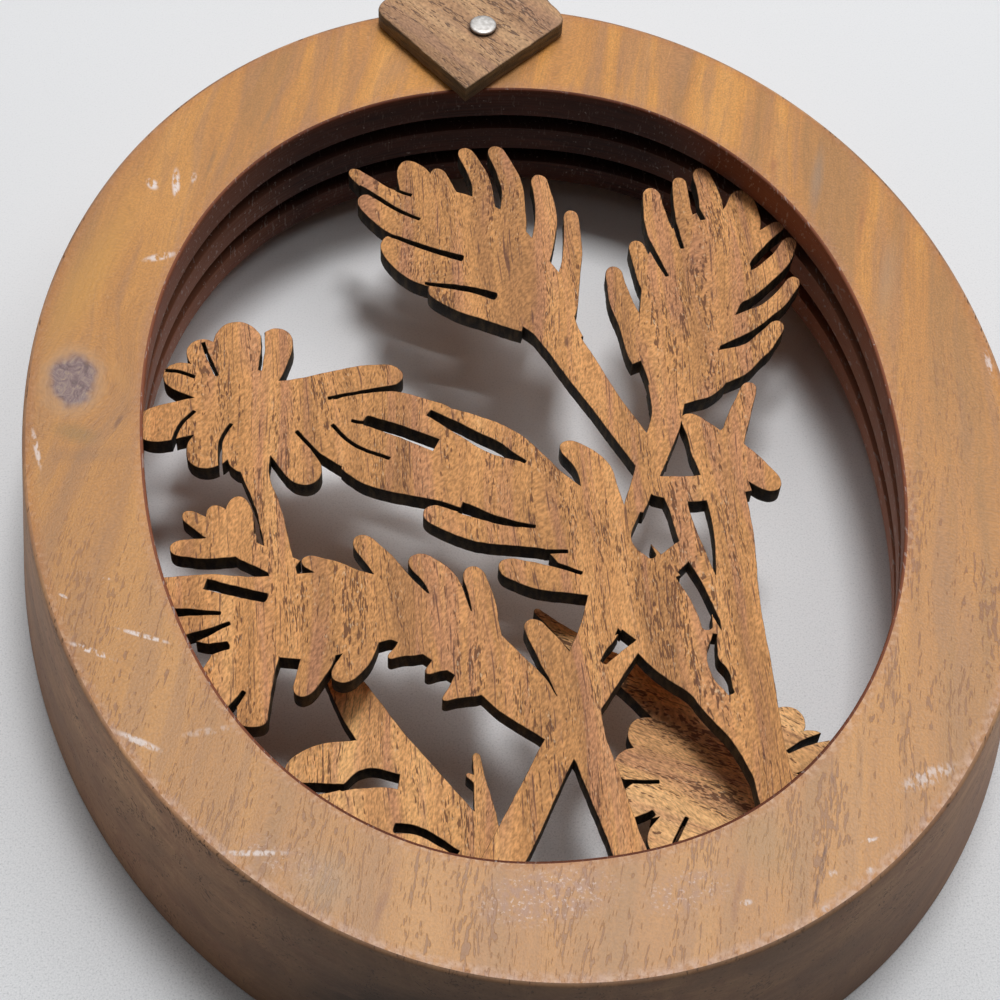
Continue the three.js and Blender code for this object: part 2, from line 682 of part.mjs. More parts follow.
const metal = new THREE.MeshStandardMaterial({
  color: 0xc9cdd2,
  roughness: 0.35,
  metalness: 1,
});
addPiece('frame_ring', frameRing(), wood(0xb98145), plaque, 0);
addPiece('front_fretwork', frontFretwork(), wood(0xb07b45), plaque, frontSheetBottom);
addPiece('back_left_spray', backLeftSpray(), wood(0xa9713f), plaque, backSheetBottom);
addPiece('back_daisy', backDaisy(), wood(0xb98a55), plaque, backSheetBottom);
addPiece('hanger_tab', hangerTab(), wood(0xa07b5a), tabPlace, tabBottom);
addPiece('tab_pin', tabPin(), metal, tabPlace, pinHeadBottom);

// The origin: the middle of the plaque's length and width, on its underside
const extent = new THREE.Box3().setFromObject(plaque, true);
const middle = extent.getCenter(new THREE.Vector3());
plaque.position.set(-middle.x, -middle.y, -extent.min.z);

const wholePart = new THREE.Group();
wholePart.add(plaque);

export default wholePart;
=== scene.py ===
# %% [markdown]
# # An oval plaque of sawn flowers
# This notebook dresses a small wooden wall plaque. A deep oval ring of oiled wood holds two
# layers of flowers and leaves, sawn from thin sheets, and a wooden tab turns on a steel pin at
# its top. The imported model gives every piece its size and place. Here each piece gets its
# finish: grain, pores, scorched saw cuts, worn edges and scuffs.

# %% The frame
import math

import bpy
import numpy as np
from mathutils import Matrix, Vector
from mathutils.geometry import delaunay_2d_cdt


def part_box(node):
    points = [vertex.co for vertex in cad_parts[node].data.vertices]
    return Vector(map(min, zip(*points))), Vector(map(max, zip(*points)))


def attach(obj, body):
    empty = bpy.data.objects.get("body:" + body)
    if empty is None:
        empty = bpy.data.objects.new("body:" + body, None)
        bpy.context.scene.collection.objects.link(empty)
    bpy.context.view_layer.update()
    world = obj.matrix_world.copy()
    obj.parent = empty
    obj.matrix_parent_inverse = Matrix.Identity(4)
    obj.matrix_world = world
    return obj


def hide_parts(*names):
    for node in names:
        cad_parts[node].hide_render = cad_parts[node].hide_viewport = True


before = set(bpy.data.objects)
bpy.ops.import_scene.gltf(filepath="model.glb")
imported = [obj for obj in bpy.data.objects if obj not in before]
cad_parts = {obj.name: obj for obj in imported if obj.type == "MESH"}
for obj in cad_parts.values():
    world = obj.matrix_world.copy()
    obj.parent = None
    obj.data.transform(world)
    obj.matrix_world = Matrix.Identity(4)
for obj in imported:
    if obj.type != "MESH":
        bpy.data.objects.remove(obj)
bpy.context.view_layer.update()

MM = 0.001
print("pieces in the frame:", sorted(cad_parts))

# %% [markdown]
# ## Places that the frame gives
# The ring was sawn by hand, so neither of its two ovals is true. Each is a little squarer than
# an ellipse, a little wider at its top than at its foot, and leans a little to one side. The
# walls lean out towards the underside. The frame gives the ring's middle. All sizes here are in
# millimetres.

# %% Sizes of the ring
ring_low, ring_high = (np.array(corner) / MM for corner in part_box("frame_ring"))
ring_depth = ring_high[2] - ring_low[2]
edge_round = 0.4
outer_lean = 3.4
opening_lean = 3.0
outside_oval = {
    "half": (59.55, 71.6), "squareness": 2.04, "taper": 0.01,
    "top_aside": -1.0, "aside": 0.0, "drop": 0.0,
}
opening_oval = {
    "half": (44.95, 56.3), "squareness": 2.2, "taper": 0.03,
    "top_aside": 0.4, "aside": -0.4, "drop": 1.3,
}
ring_reach = outer_lean * (1 - edge_round / ring_depth)
ring_middle = np.array([
    ring_high[0] - outside_oval["half"][0] - ring_reach,
    ring_high[1] - outside_oval["half"][1] - ring_reach,
])
print("middle of the ring in mm:", ring_middle.round(2))

# %% Sizes of the wall of the opening, down from the face
lip_depth = 5.5
groove_width = 2.8
groove_depth = 2.5
groove_round = 0.15
band_depth = 4.5
underside_bevel = 4.5
first_groove = lip_depth
second_groove = lip_depth + groove_width + band_depth
bevel_start = ring_depth - underside_bevel
print("grooves start in mm below the face:", first_groove, second_groove)

# %% [markdown]
# ## Putting numbers into meshes
# Every new piece is a grid of points worked out by a formula. One helper puts such arrays
# into a mesh object, smooths its shading and keeps its sharp edges sharp.

# %% From arrays to an object
def mesh_object(name, points, faces, sharp_angle=40):
    """Makes a mesh from points in millimetres and faces, given as lists of point numbers.
    Edges whose faces meet at more than sharp_angle degrees are drawn sharp."""
    mesh = bpy.data.meshes.new(name)
    mesh.from_pydata((np.asarray(points, float) * MM).tolist(), [], faces)
    mesh.validate()
    mesh.polygons.foreach_set("use_smooth", np.ones(len(mesh.polygons), bool))
    mesh.set_sharp_from_angle(angle=math.radians(sharp_angle))
    made = bpy.data.objects.new(name, mesh)
    bpy.context.scene.collection.objects.link(made)
    print(name, "has", len(mesh.vertices), "points and", len(mesh.polygons), "faces")
    return made


def grid_faces(rows, columns, close_columns=False):
    """Quads of a grid of points numbered row by row, as an array. The last row joins the
    first, and the last column joins the first where close_columns says so."""
    row = np.arange(rows)[:, None]
    column = np.arange(columns if close_columns else columns - 1)[None, :]
    next_row = (row + 1) % rows
    next_column = (column + 1) % columns
    corners = [
        row * columns + column,
        next_row * columns + column,
        next_row * columns + next_column,
        row * columns + next_column,
    ]
    return np.stack(corners, -1).reshape(-1, 4)


def store(made, name, values):
    """Keeps one number for each point of the mesh, for a material to read."""
    attribute = made.data.attributes.new(name, "FLOAT", "POINT")
    attribute.data.foreach_set("value", np.asarray(values, np.float32).ravel())


# %% [markdown]
# ## Adding shader nodes
# A finish is a small graph of nodes. One function adds a node, sets its options and connects
# its inputs, so that each finish reads as a list of steps. Colours are written as the hex
# values that a screen shows, and turned into the linear values that the renderer works in.

# %% Colours and nodes
def linear(hex_colour):
    """Each channel of an sRGB colour in 0..1, below 0.04045 divided by 12.92, and above it
    ((channel + 0.055) / 1.055) to the power 2.4. The fourth value is full opacity."""
    channels = np.array([int(hex_colour[i:i + 2], 16) for i in (1, 3, 5)]) / 255
    low = channels / 12.92
    high = ((channels + 0.055) / 1.055) ** 2.4
    return (*np.where(channels <= 0.04045, low, high).tolist(), 1.0)


def add(tree, kind, inputs=(), out=0, stops=(), **settings):
    """Adds the node that Blender calls ShaderNode and its kind, and gives its output out.
    inputs are its sockets' values in their order, or by name or number, and each is a
    constant or another node's output. stops are a colour ramp's places and hex colours."""
    made = tree.nodes.new("ShaderNode" + kind)
    for name, value in settings.items():
        setattr(made, name, value)
    if stops:
        ramp = made.color_ramp.elements
        while len(ramp) < len(stops):
            ramp.new(1.0)
        for element, (place, colour) in zip(ramp, stops):
            element.position = place
            element.color = linear(colour)
    for key, value in (inputs if isinstance(inputs, dict) else dict(enumerate(inputs))).items():
        if isinstance(value, bpy.types.NodeSocket):
            tree.links.new(value, made.inputs[key])
        else:
            made.inputs[key].default_value = value
    return made.outputs[out] if len(made.outputs) else made


# %% The start and end of every material
def new_material(name):
    """An empty material, its graph, and the pattern's place in millimetres."""
    material = bpy.data.materials.new(name)
    material.use_nodes = True
    tree = material.node_tree
    tree.nodes.clear()
    place = add(tree, "TexCoord", out="Object")
    in_mm = add(tree, "VectorMath", {0: place, "Scale": 1 / MM}, operation="SCALE")
    return material, tree, in_mm


def finished(material, surface):
    """Gives the material its shader, with the constants and links that surface names."""
    tree = material.node_tree
    add(tree, "OutputMaterial", (add(tree, "BsdfPrincipled", surface),))
    print(material.name, "has", len(tree.nodes), "nodes")
    return material


# %% [markdown]
# ## Marks, specks and fades
# Real wood is never one colour. Three patterns do most of the work: a fade from one place to
# another, specks of noise at a stated size, and a soft ellipse or stroke at one place. A stain
# lays a colour over what is there, as strongly as the patterns multiplied together say. A Map
# Range node's inputs are a value, the two values that it runs between, and the two results.

# %% Patterns
def stain(tree, colour, over, *amounts):
    """Lays the colour called over on a colour, each a hex value or a node's output. Its share
    is all the amounts multiplied, each from 0 to 1."""
    amount, *others = amounts
    for other in others:
        amount = add(tree, "Math", (amount, other), operation="MULTIPLY")
    below, above = (linear(c) if isinstance(c, str) else c for c in (colour, over))
    # The colours of a Mix node are its sockets 6 and 7, and its result is output 2.
    return add(tree, "Mix", {0: amount, 6: below, 7: above}, out=2, data_type="RGBA")


def fade(tree, vector, axis, start, end, low=0.0, high=1.0, **settings):
    """Low where the place along an axis is at start, high at end, and a ramp between them."""
    place = add(tree, "SeparateXYZ", (vector,), out=axis)
    return add(tree, "MapRange", (place, start, end, low, high), **settings)


def speckle(tree, vector, size, low, high, stretch=(1, 1, 1)):
    """Specks about size millimetres across: 0 below the noise value low, 1 above high. A
    stretch below 1 draws them out along that axis."""
    fine = add(tree, "Mapping", {"Vector": vector, "Scale": tuple(s / size for s in stretch)})
    noise = add(tree, "TexNoise", {"Vector": fine, "Scale": 1.0, "Detail": 3.0})
    return add(tree, "MapRange", (noise, low, high))


mark_depth = 8.0


def spot(tree, in_mm, x, y, long, wide, turn=0.0, soft=0.5):
    """1 inside an ellipse on the ring's face, fading to 0 at its edge and mark_depth below
    it. The ellipse is long by wide millimetres, turned anticlockwise of +X by turn degrees."""
    local = add(tree, "Mapping", {
        "Vector": in_mm,
        "Location": (x, y, ring_depth),
        "Rotation": (0, 0, math.radians(turn)),
        "Scale": (long / 2, wide / 2, mark_depth),
    }, vector_type="TEXTURE")
    distance = add(tree, "VectorMath", (local,), out="Value", operation="LENGTH")
    return add(
        tree, "MapRange", (distance, 1.0, 1.0 - soft), interpolation_type="SMOOTHSTEP"
    )


def stroke(tree, in_mm, start, end, wide, soft):
    """1 along the straight stroke from start to end on the ring's face, fading to its edges.
    It is drawn a little long, because its two ends fade too."""
    start, end = np.array(start), np.array(end)
    middle = (start + end) / 2
    run = end - start
    turn = math.degrees(math.atan2(run[1], run[0]))
    long = float(np.linalg.norm(run)) * 1.15
    return spot(tree, in_mm, *middle.tolist(), long, wide, turn, soft)


# %% [markdown]
# ## Wood, as a graph of nodes
# The ring and the sheets are cut from one kind of brown hardwood, and what the eye reads as wood
# is several patterns, most of them drawn out along the grain. Soft bands a few millimetres wide
# are the yearly growth, and some of them are tinted red or grey. Fine fibres, a third of a
# millimetre apart, give the surface its silk. A saw leaves a nap of tiny fibres that lean across
# the grain. Short dark dashes are open pores that the blade cut lengthways: they keep to rows,
# and where many join they read as long dark lines. Slow warping keeps all of it from being ruler
# straight. All are cut from one solid block of pattern, so the walls of a piece show the end of
# the same grain that its face shows lengthways. Real pores are about a tenth of a millimetre
# wide, just under one pixel here, so they are drawn a little wider.

# %% The block of pattern
def wood_block(tree, in_mm, wood):
    """Gives a function that adds one pattern of the block: a noise whose specks are across by
    along millimetres. The block is turned so that the grain, which lies wood["turn"] degrees
    clockwise of +Y, is its Y axis, and it is warped by up to 4 mm over some centimetres. The
    nap leans across the grain, so its patterns are turned by lean degrees more."""
    def turned(vector, degrees):
        turn = (0, 0, math.radians(degrees))
        return add(tree, "Mapping", {"Vector": vector, "Rotation": turn})

    straight = turned(in_mm, wood["turn"])
    slow = add(tree, "Mapping", {
        "Vector": straight, "Scale": (0.09, 0.02, 0.09), "Location": (wood["seed"], 0, 0),
    })
    warp = add(tree, "TexNoise", {"Vector": slow, "Scale": 1.0, "Detail": 2.0}, out="Color")
    offset = add(tree, "VectorMath", (warp, (0.5, 0.5, 0.5)), operation="SUBTRACT")
    offset = add(tree, "VectorMath", (offset, (8.0, 0.0, 8.0)), operation="MULTIPLY")
    warped = add(tree, "VectorMath", (straight, offset), operation="ADD")

    def pattern(across, along, shift, detail=1.0, roughness=0.5, lean=None):
        squeezed = add(tree, "Mapping", {
            "Vector": warped if lean is None else turned(warped, lean),
            "Scale": (1 / across, 1 / along, 1 / across),
            "Location": (wood["seed"] + shift, shift, 0),
        })
        noise = {"Vector": squeezed, "Scale": 1.0, "Detail": detail, "Roughness": roughness}
        return add(tree, "TexNoise", noise)

    return pattern


# %% The grain
def grain(tree, in_mm, wood, pore_share=1.0):
    """Colour and height of sawn wood, from bands of growth to pale flecks, which are painted
    glints of a satin sheen. pore_share thins the pores out where it is below 1."""
    pattern = wood_block(tree, in_mm, wood)
    band_stops = list(zip((0.34, 0.45, 0.55, 0.66), wood["bands"]))
    growth = pattern(wood["band_width"], 110, 0.0, 3.0, 0.55)
    colour = add(tree, "ValToRGB", (growth,), stops=band_stops)
    tinted = add(tree, "MapRange", (pattern(2.2, 42, 3.0, 2.0), 0.5, 0.64, 0.0, wood["tinting"]))
    colour = stain(tree, colour, wood["tint"], tinted)

    silk, nap = wood["silk"], wood["nap"]
    fibre = pattern(0.32, 8, 11.0, 3.0, 0.65)
    fur = pattern(*wood["nap_size"], 17.0, lean=wood["nap_lean"])
    shade = add(tree, "Math", (
        add(tree, "MapRange", (fibre, 0.3, 0.7, 1 - silk, 1 + silk)),
        add(tree, "MapRange", (fur, 0.32, 0.68, 1 - nap, 1 + nap)),
    ), operation="MULTIPLY")
    colour = add(tree, "VectorMath", {0: colour, "Scale": shade}, operation="SCALE")

    # Where rows and patches of pores meet, a lower noise value is enough to open one.
    rows, patches = pattern(0.6, 22, 29.0), pattern(3.4, 15, 37.0)
    both = add(tree, "Math", (rows, patches), operation="ADD")
    crowd = add(tree, "MapRange", (both, 0.86, 1.26))
    fewer = 0.1 * wood["pores"]
    least = add(tree, "MapRange", (crowd, 0.0, 1.0, 0.80 - fewer, 0.53 - fewer))
    dash = pattern(*wood["pore_size"], 23.0, roughness=0.4)
    above = add(tree, "Math", (dash, least), operation="SUBTRACT")
    pores = add(tree, "MapRange", (above, 0.0, 0.07, 0.0, 0.85))
    pores = add(tree, "Math", (pores, pore_share), operation="MULTIPLY")
    colour = stain(tree, colour, wood["pore"], pores)

    line = pattern(0.24, 11, 5.0, roughness=0.4)
    line = add(tree, "MapRange", (line, 0.63, 0.72, 0.0, wood["lines"]))
    colour = stain(tree, colour, wood["line"], line)
    # Painted highlight: pale flecks stand in for the glints of a satin sheen, most where pores
    # crowd.
    painted_glint = add(tree, "MapRange", (pattern(0.2, 0.7, 43.0), 0.62, 0.74, 0.0, wood["painted_glints"]))
    colour = stain(tree, colour, wood["painted_glint"], painted_glint, crowd)
    height = add(tree, "Math", (fur, pores), operation="SUBTRACT")
    return colour, height


# %% [markdown]
# ## The ring's finish
# The face was sanded and oiled, and has since been handled: pale scuffs where it was knocked, a
# worn patch at the bottom, a grey knot on the left that the grain flows round, and a few dark
# mineral streaks. It is golden at the top and greyer and more open-pored towards the bottom. Its
# outside wall is a darker brown, partly because it shows end grain, which drinks more oil, and
# partly from painted shade towards the underside and the front. The wall of the opening was
# scorched nearly black by the cutter that made the grooves; painted shade makes its grooves
# blacker still, and painted light makes it red-brown towards the sides. A mark that lies at one
# place on the real face is a soft stroke or ellipse at that place, broken up by noise.

# %% Marks on the face, in millimetres
ring_wood = {
    "turn": 15, "seed": 0.0, "bands": ("#AE7B45", "#C28544", "#D09045", "#D8994F"),
    "band_width": 5.0, "tint": "#AA7A52", "tinting": 0.55,
    "silk": 0.07, "nap": 0.14, "nap_size": (0.24, 0.3), "nap_lean": 0,
    "pore": "#7E4A2C", "pores": 0.5, "pore_size": (0.26, 1.5),
    "line": "#7C4E30", "lines": 0.2, "painted_glint": "#DDB184", "painted_glints": 0.3,
}
knot_place = (-53.6, 5.9)
tones = [
    # start, end, width, colour, strength
    ((-58.5, 6.0), (-45.0, 38.0), 7.5, "#CB9548", 0.55),
    ((-44.5, 4.0), (-36.0, 30.0), 5.0, "#B08660", 0.45),
    ((-49.5, 10.0), (-47.0, 3.0), 2.6, "#C48C4E", 0.6),
    ((-56.5, -0.5), (-50.0, -3.5), 4.0, "#8E7448", 0.5),
    ((-58.0, -5.0), (-46.0, -5.5), 3.2, "#96704E", 0.35),
    ((-30.0, -57.0), (-26.0, -66.0), 9.0, "#B79A7C", 0.5),
    ((45.6, 38.4), (41.2, 24.2), 2.4, "#8F7F70", 0.5),
    ((51.8, 22.3), (45.8, 4.5), 3.4, "#AD8A68", 0.5),
    ((16.0, -55.0), (20.0, -68.0), 9.0, "#AE8C60", 0.4),
    ((-8.0, 60.0), (-12.0, 52.0), 3.0, "#A9805E", 0.4),
]
streaks = [
    ((27.6, -51.2), (25.5, -60.4), 0.55, "#5B4248", 0.7),
    ((25.5, -60.4), (21.2, -70.4), 0.7, "#543A3A", 0.8),
    ((15.7, -63.0), (12.5, -71.7), 1.3, "#8E5A40", 0.45),
    ((49.8, 29.7), (45.8, 17.8), 1.0, "#8A5238", 0.4),
    ((39.4, 38.8), (36.6, 28.6), 1.5, "#94583C", 0.55),
    ((-49.3, -2.8), (-46.6, 2.6), 1.0, "#6E4A36", 0.7),
    ((-20.1, -59.0), (-24.0, -68.0), 1.6, "#8A5A40", 0.5),
    ((-26.0, 53.4), (-29.6, 44.4), 1.1, "#94714F", 0.6),
    ((-33.8, 46.6), (-37.0, 36.6), 1.0, "#8A6A4A", 0.55),
    ((31.0, -48.6), (29.4, -57.6), 0.9, "#8A6240", 0.5),
    ((36.8, -45.4), (34.6, -56.0), 0.9, "#94683F", 0.45),
]
scuffs = [
    # start, end, width, strength
    ((-48.9, -29.2), (-42.8, -31.8), 0.75, 1.0),
    ((-54.5, -30.3), (-48.5, -33.5), 0.9, 1.0),
    ((-49.4, -41.9), (-44.0, -45.1), 1.1, 0.9),
    ((-42.5, -43.3), (-35.9, -42.7), 1.2, 0.35),
    ((-51.8, -38.9), (-50.7, -39.6), 0.6, 0.9),
    ((-50.3, -22.5), (-49.4, -22.8), 0.6, 0.8),
    ((-55.2, -24.1), (-54.0, -24.9), 0.5, 0.8),
    ((-44.0, 38.3), (-42.9, 36.2), 1.7, 1.0),
    ((-40.3, 40.0), (-40.5, 34.2), 1.3, 1.0),
    ((-38.0, 39.0), (-38.2, 36.9), 1.0, 0.6),
    ((-45.0, 24.3), (-40.4, 25.2), 1.5, 0.9),
    ((-39.6, -57.2), (-31.2, -58.0), 0.9, 0.9),
    ((28.1, -62.8), (30.2, -62.4), 0.7, 1.0),
    ((33.4, -57.2), (40.8, -54.8), 2.6, 0.7),
    ((24.0, -65.8), (25.0, -66.0), 1.2, 0.8),
    ((28.0, -66.1), (28.9, -66.0), 1.2, 1.0),
    ((22.4, -69.8), (23.4, -69.6), 1.0, 0.9),
    ((14.0, -68.3), (15.6, -68.1), 0.9, 0.8),
    ((23.9, -69.6), (29.3, -67.4), 1.0, 0.8),
    ((58.4, 1.4), (58.3, -3.4), 1.0, 0.9),
    ((-58.4, -0.4), (-57.2, -7.2), 0.8, 0.8),
    ((-31.8, 38.2), (-31.2, 37.4), 0.8, 1.0),
]
worn_patches = [
    # x, y, length, width, turn, strength
    (-5.6, -65.4, 19.0, 8.0, 4, 0.75),
    (9.0, -66.4, 12.0, 6.0, 10, 0.5),
    (-32.0, -58.6, 15.0, 5.0, -28, 0.35),
]
print("marks on the face:", len(tones) + len(streaks) + len(scuffs) + len(worn_patches))


# %% Knot
def knot(tree, in_mm, from_knot, colour):
    """A grey knot of 5 by 6 mm: swirls of three greys inside a ragged edge, with a pale halo."""
    squashed = add(tree, "VectorMath", (from_knot, (1.05, 0.76, 1.0)), operation="MULTIPLY")
    distance = add(tree, "VectorMath", (squashed,), out="Value", operation="LENGTH")
    ragged = add(tree, "Math", (distance, speckle(tree, in_mm, 2.2, 0.2, 0.8)), operation="ADD")
    halo, core = (
        add(tree, "MapRange", (ragged, start, end, 0.0, most), interpolation_type="SMOOTHSTEP")
        for start, end, most in ((5.6, 3.6, 0.5), (4.1, 2.7, 0.92))
    )
    block = add(tree, "Mapping", {"Vector": in_mm, "Scale": (0.75, 0.55, 0.75)})
    swirls = add(tree, "TexNoise", {
        "Vector": block, "Scale": 1.0, "Detail": 5.0, "Roughness": 0.65, "Distortion": 1.6,
    })
    greys = add(
        tree, "ValToRGB", (swirls,),
        stops=[(0.36, "#5A484C"), (0.47, "#7A6468"), (0.56, "#8E7A76"), (0.66, "#A68E7C")],
    )
    return stain(tree, stain(tree, colour, "#BE9670", halo), greys, core)


# %% Oiled face
def around_knot(tree, in_mm):
    """The place measured from the knot, and the place with the grain pushed aside by the
    knot: each point within 13 mm of it reads the pattern from nearer to the knot."""
    from_knot = add(
        tree, "VectorMath", (in_mm, (*knot_place, ring_depth)), operation="SUBTRACT"
    )
    distance = add(tree, "VectorMath", (from_knot,), out="Value", operation="LENGTH")
    push = add(
        tree, "MapRange", (distance, 0.0, 13.0, -0.72, 0.0), interpolation_type="SMOOTHSTEP"
    )
    flow = add(tree, "VectorMath", {0: from_knot, "Scale": push}, operation="SCALE")
    return from_knot, add(tree, "VectorMath", (in_mm, flow), operation="ADD")


def marked(tree, in_mm, colour):
    """The face's own tones and streaks laid over its grain, one stroke for each."""
    broken = speckle(tree, in_mm, 1.6, 0.30, 0.58, stretch=(1, 0.5, 1))
    for start, end, wide, tone, strength in tones:
        mark = stroke(tree, in_mm, start, end, wide, 0.9)
        colour = stain(tree, colour, tone, mark, strength)
    for start, end, wide, tone, strength in streaks:
        mark = stroke(tree, in_mm, start, end, wide, 0.8)
        colour = stain(tree, colour, tone, mark, strength, broken)
    return colour


def worn(tree, in_mm, colour, mottle):
    """Worn patches, dull with pale specks, and white scuffs broken into dots. Also gives how
    white the scuffs are, because a scuff is rough."""
    specks = speckle(tree, in_mm, 0.36, 0.58, 0.68)
    for x, y, long, wide, turn, strength in worn_patches:
        patch = spot(tree, in_mm, x, y, long, wide, turn, 0.6)
        colour = stain(tree, colour, "#B08874", patch, strength, mottle)
        colour = stain(tree, colour, "#E6CCBC", patch, strength, specks)
    whiteness = 0.0
    for start, end, wide, strength in scuffs:
        mark = stroke(tree, in_mm, start, end, wide, 0.6)
        mark = add(tree, "Math", (mark, strength), operation="MULTIPLY")
        whiteness = add(tree, "Math", (whiteness, mark), operation="MAXIMUM")
    dots = speckle(tree, in_mm, 0.45, 0.42, 0.56, stretch=(1, 0.45, 1))
    whiteness = add(tree, "Math", (whiteness, dots), operation="MULTIPLY")
    return stain(tree, colour, "#F2E2DA", whiteness), whiteness


def oiled_hardwood_face():
    """Sanded and oiled hardwood, satin from handling, with rubbed and chipped edges."""
    material, tree, in_mm = new_material("Oiled hardwood, sanded face")
    from_knot, flowing = around_knot(tree, in_mm)
    open_pored = fade(tree, in_mm, "Y", 10.0, -35.0, 0.15, 1.0)
    colour, height = grain(tree, flowing, ring_wood, open_pored)
    colour = stain(tree, colour, "#C0956A", fade(tree, in_mm, "Y", 15.0, -60.0), 0.42)
    colour = stain(tree, colour, "#A5784A", fade(tree, in_mm, "X", -10.0, -55.0, 0.0, 0.3))
    colour = knot(tree, in_mm, from_knot, marked(tree, in_mm, colour))
    mottle = speckle(tree, in_mm, 0.8, 0.40, 0.62, stretch=(1, 0.7, 1))
    colour, whiteness = worn(tree, in_mm, colour, mottle)
    across = add(tree, "Attribute", out="Fac", attribute_name="across")
    rim = add(tree, "MapRange", (across, 0.10, 0.0))
    at_foot = fade(tree, in_mm, "Y", -25.0, -55.0, 0.0, 0.75)
    colour = stain(tree, colour, "#E3C3AE", rim, at_foot, mottle)
    edge = add(tree, "Attribute", out="Fac", attribute_name="edge_wear")
    colour = stain(tree, colour, "#A8643C", edge, 0.3)
    chips = speckle(tree, in_mm, 0.8, 0.50, 0.62)
    more_at_foot = fade(tree, in_mm, "Y", 0.0, -50.0, 0.12, 0.5)
    colour = stain(tree, colour, "#E6C0A0", edge, chips, more_at_foot)
    return finished(material, {
        "Base Color": colour,
        "Roughness": add(tree, "MapRange", (whiteness, 0.0, 1.0, 0.46, 0.8)),
        "Normal": add(tree, "Bump", {"Height": height, "Strength": 0.35, "Distance": 0.12 * MM}),
        "IOR": 1.45,
    })


face_wood = oiled_hardwood_face()

# %% Outside wall
stain_place = (-17.0, -74.5, 7.0)
stain_reach = (30.0, 22.0, 20.0)
wall_grain = {
    "turn": 15, "seed": 4.0, "bands": ("#A88062", "#B48866", "#C0906A", "#CA9A70"),
    "band_width": 6.0, "tint": "#96644C", "tinting": 0.4,
    "silk": 0.05, "nap": 0.08, "nap_size": (0.3, 0.5), "nap_lean": 0,
    "pore": "#4E3626", "pores": 0.1, "pore_size": (0.25, 1.4),
    "line": "#4E3626", "lines": 0.2, "painted_glint": "#A98A6C", "painted_glints": 0.2,
}


def place_on_wall(tree):
    """The place on a wall of the ring, in millimetres: X round it and Y down from the face."""
    return add(tree, "CombineXYZ", [
        add(tree, "Attribute", out="Fac", attribute_name=name) for name in ("along", "down")
    ])


def oiled_hardwood_wall():
    """The outside wall: the same wood, dulled by handling, with sanding lines that run round
    the ring, painted shade that darkens it towards the underside and the foot, and one black
    stain at the front."""
    material, tree, in_mm = new_material("Oiled hardwood, outside wall")
    colour, height = grain(tree, in_mm, wall_grain)
    on_wall = place_on_wall(tree)
    lines = speckle(tree, on_wall, 1.0, 0.35, 0.7, stretch=(0.05, 1.3, 1))
    colour = stain(tree, colour, "#8A6546", lines, 0.4)
    smoky = speckle(tree, on_wall, 12.0, 0.42, 0.66, stretch=(0.5, 1.4, 1))
    colour = stain(tree, colour, "#74563C", smoky, 0.4)
    smooth = {"interpolation_type": "SMOOTHSTEP"}
    # Painted shade: darker towards the underside, where the wall meets the table, and towards the
    # front, which faces away from the lamps.
    shade_near_table = fade(tree, on_wall, "Y", 2.0, ring_depth, 0.0, 0.5, **smooth)
    colour = stain(tree, colour, "#704C38", shade_near_table)
    front = fade(tree, in_mm, "Y", -45.0, -76.0, 0.0, 0.6, **smooth)
    colour = stain(tree, colour, "#4C3A2C", front)
    from_stain = add(tree, "Mapping", {
        "Vector": in_mm, "Location": stain_place, "Scale": stain_reach,
    }, vector_type="TEXTURE")
    distance = add(tree, "VectorMath", (from_stain,), out="Value", operation="LENGTH")
    colour = stain(tree, colour, "#231913", add(tree, "MapRange", (distance, 1.0, 0.0)))
    crust = speckle(tree, on_wall, 2.6, 0.40, 0.50, stretch=(0.4, 1.3, 1))
    core = add(tree, "MapRange", (distance, 0.62, 0.25))
    colour = stain(tree, colour, "#090706", core, crust)
    return finished(material, {
        "Base Color": colour,
        "Normal": add(tree, "Bump", {"Height": height, "Strength": 0.3, "Distance": 0.1 * MM}),
        "Roughness": 0.6,
        "IOR": 1.45,
        "Specular IOR Level": 0.3,
    })


wall_wood = oiled_hardwood_wall()


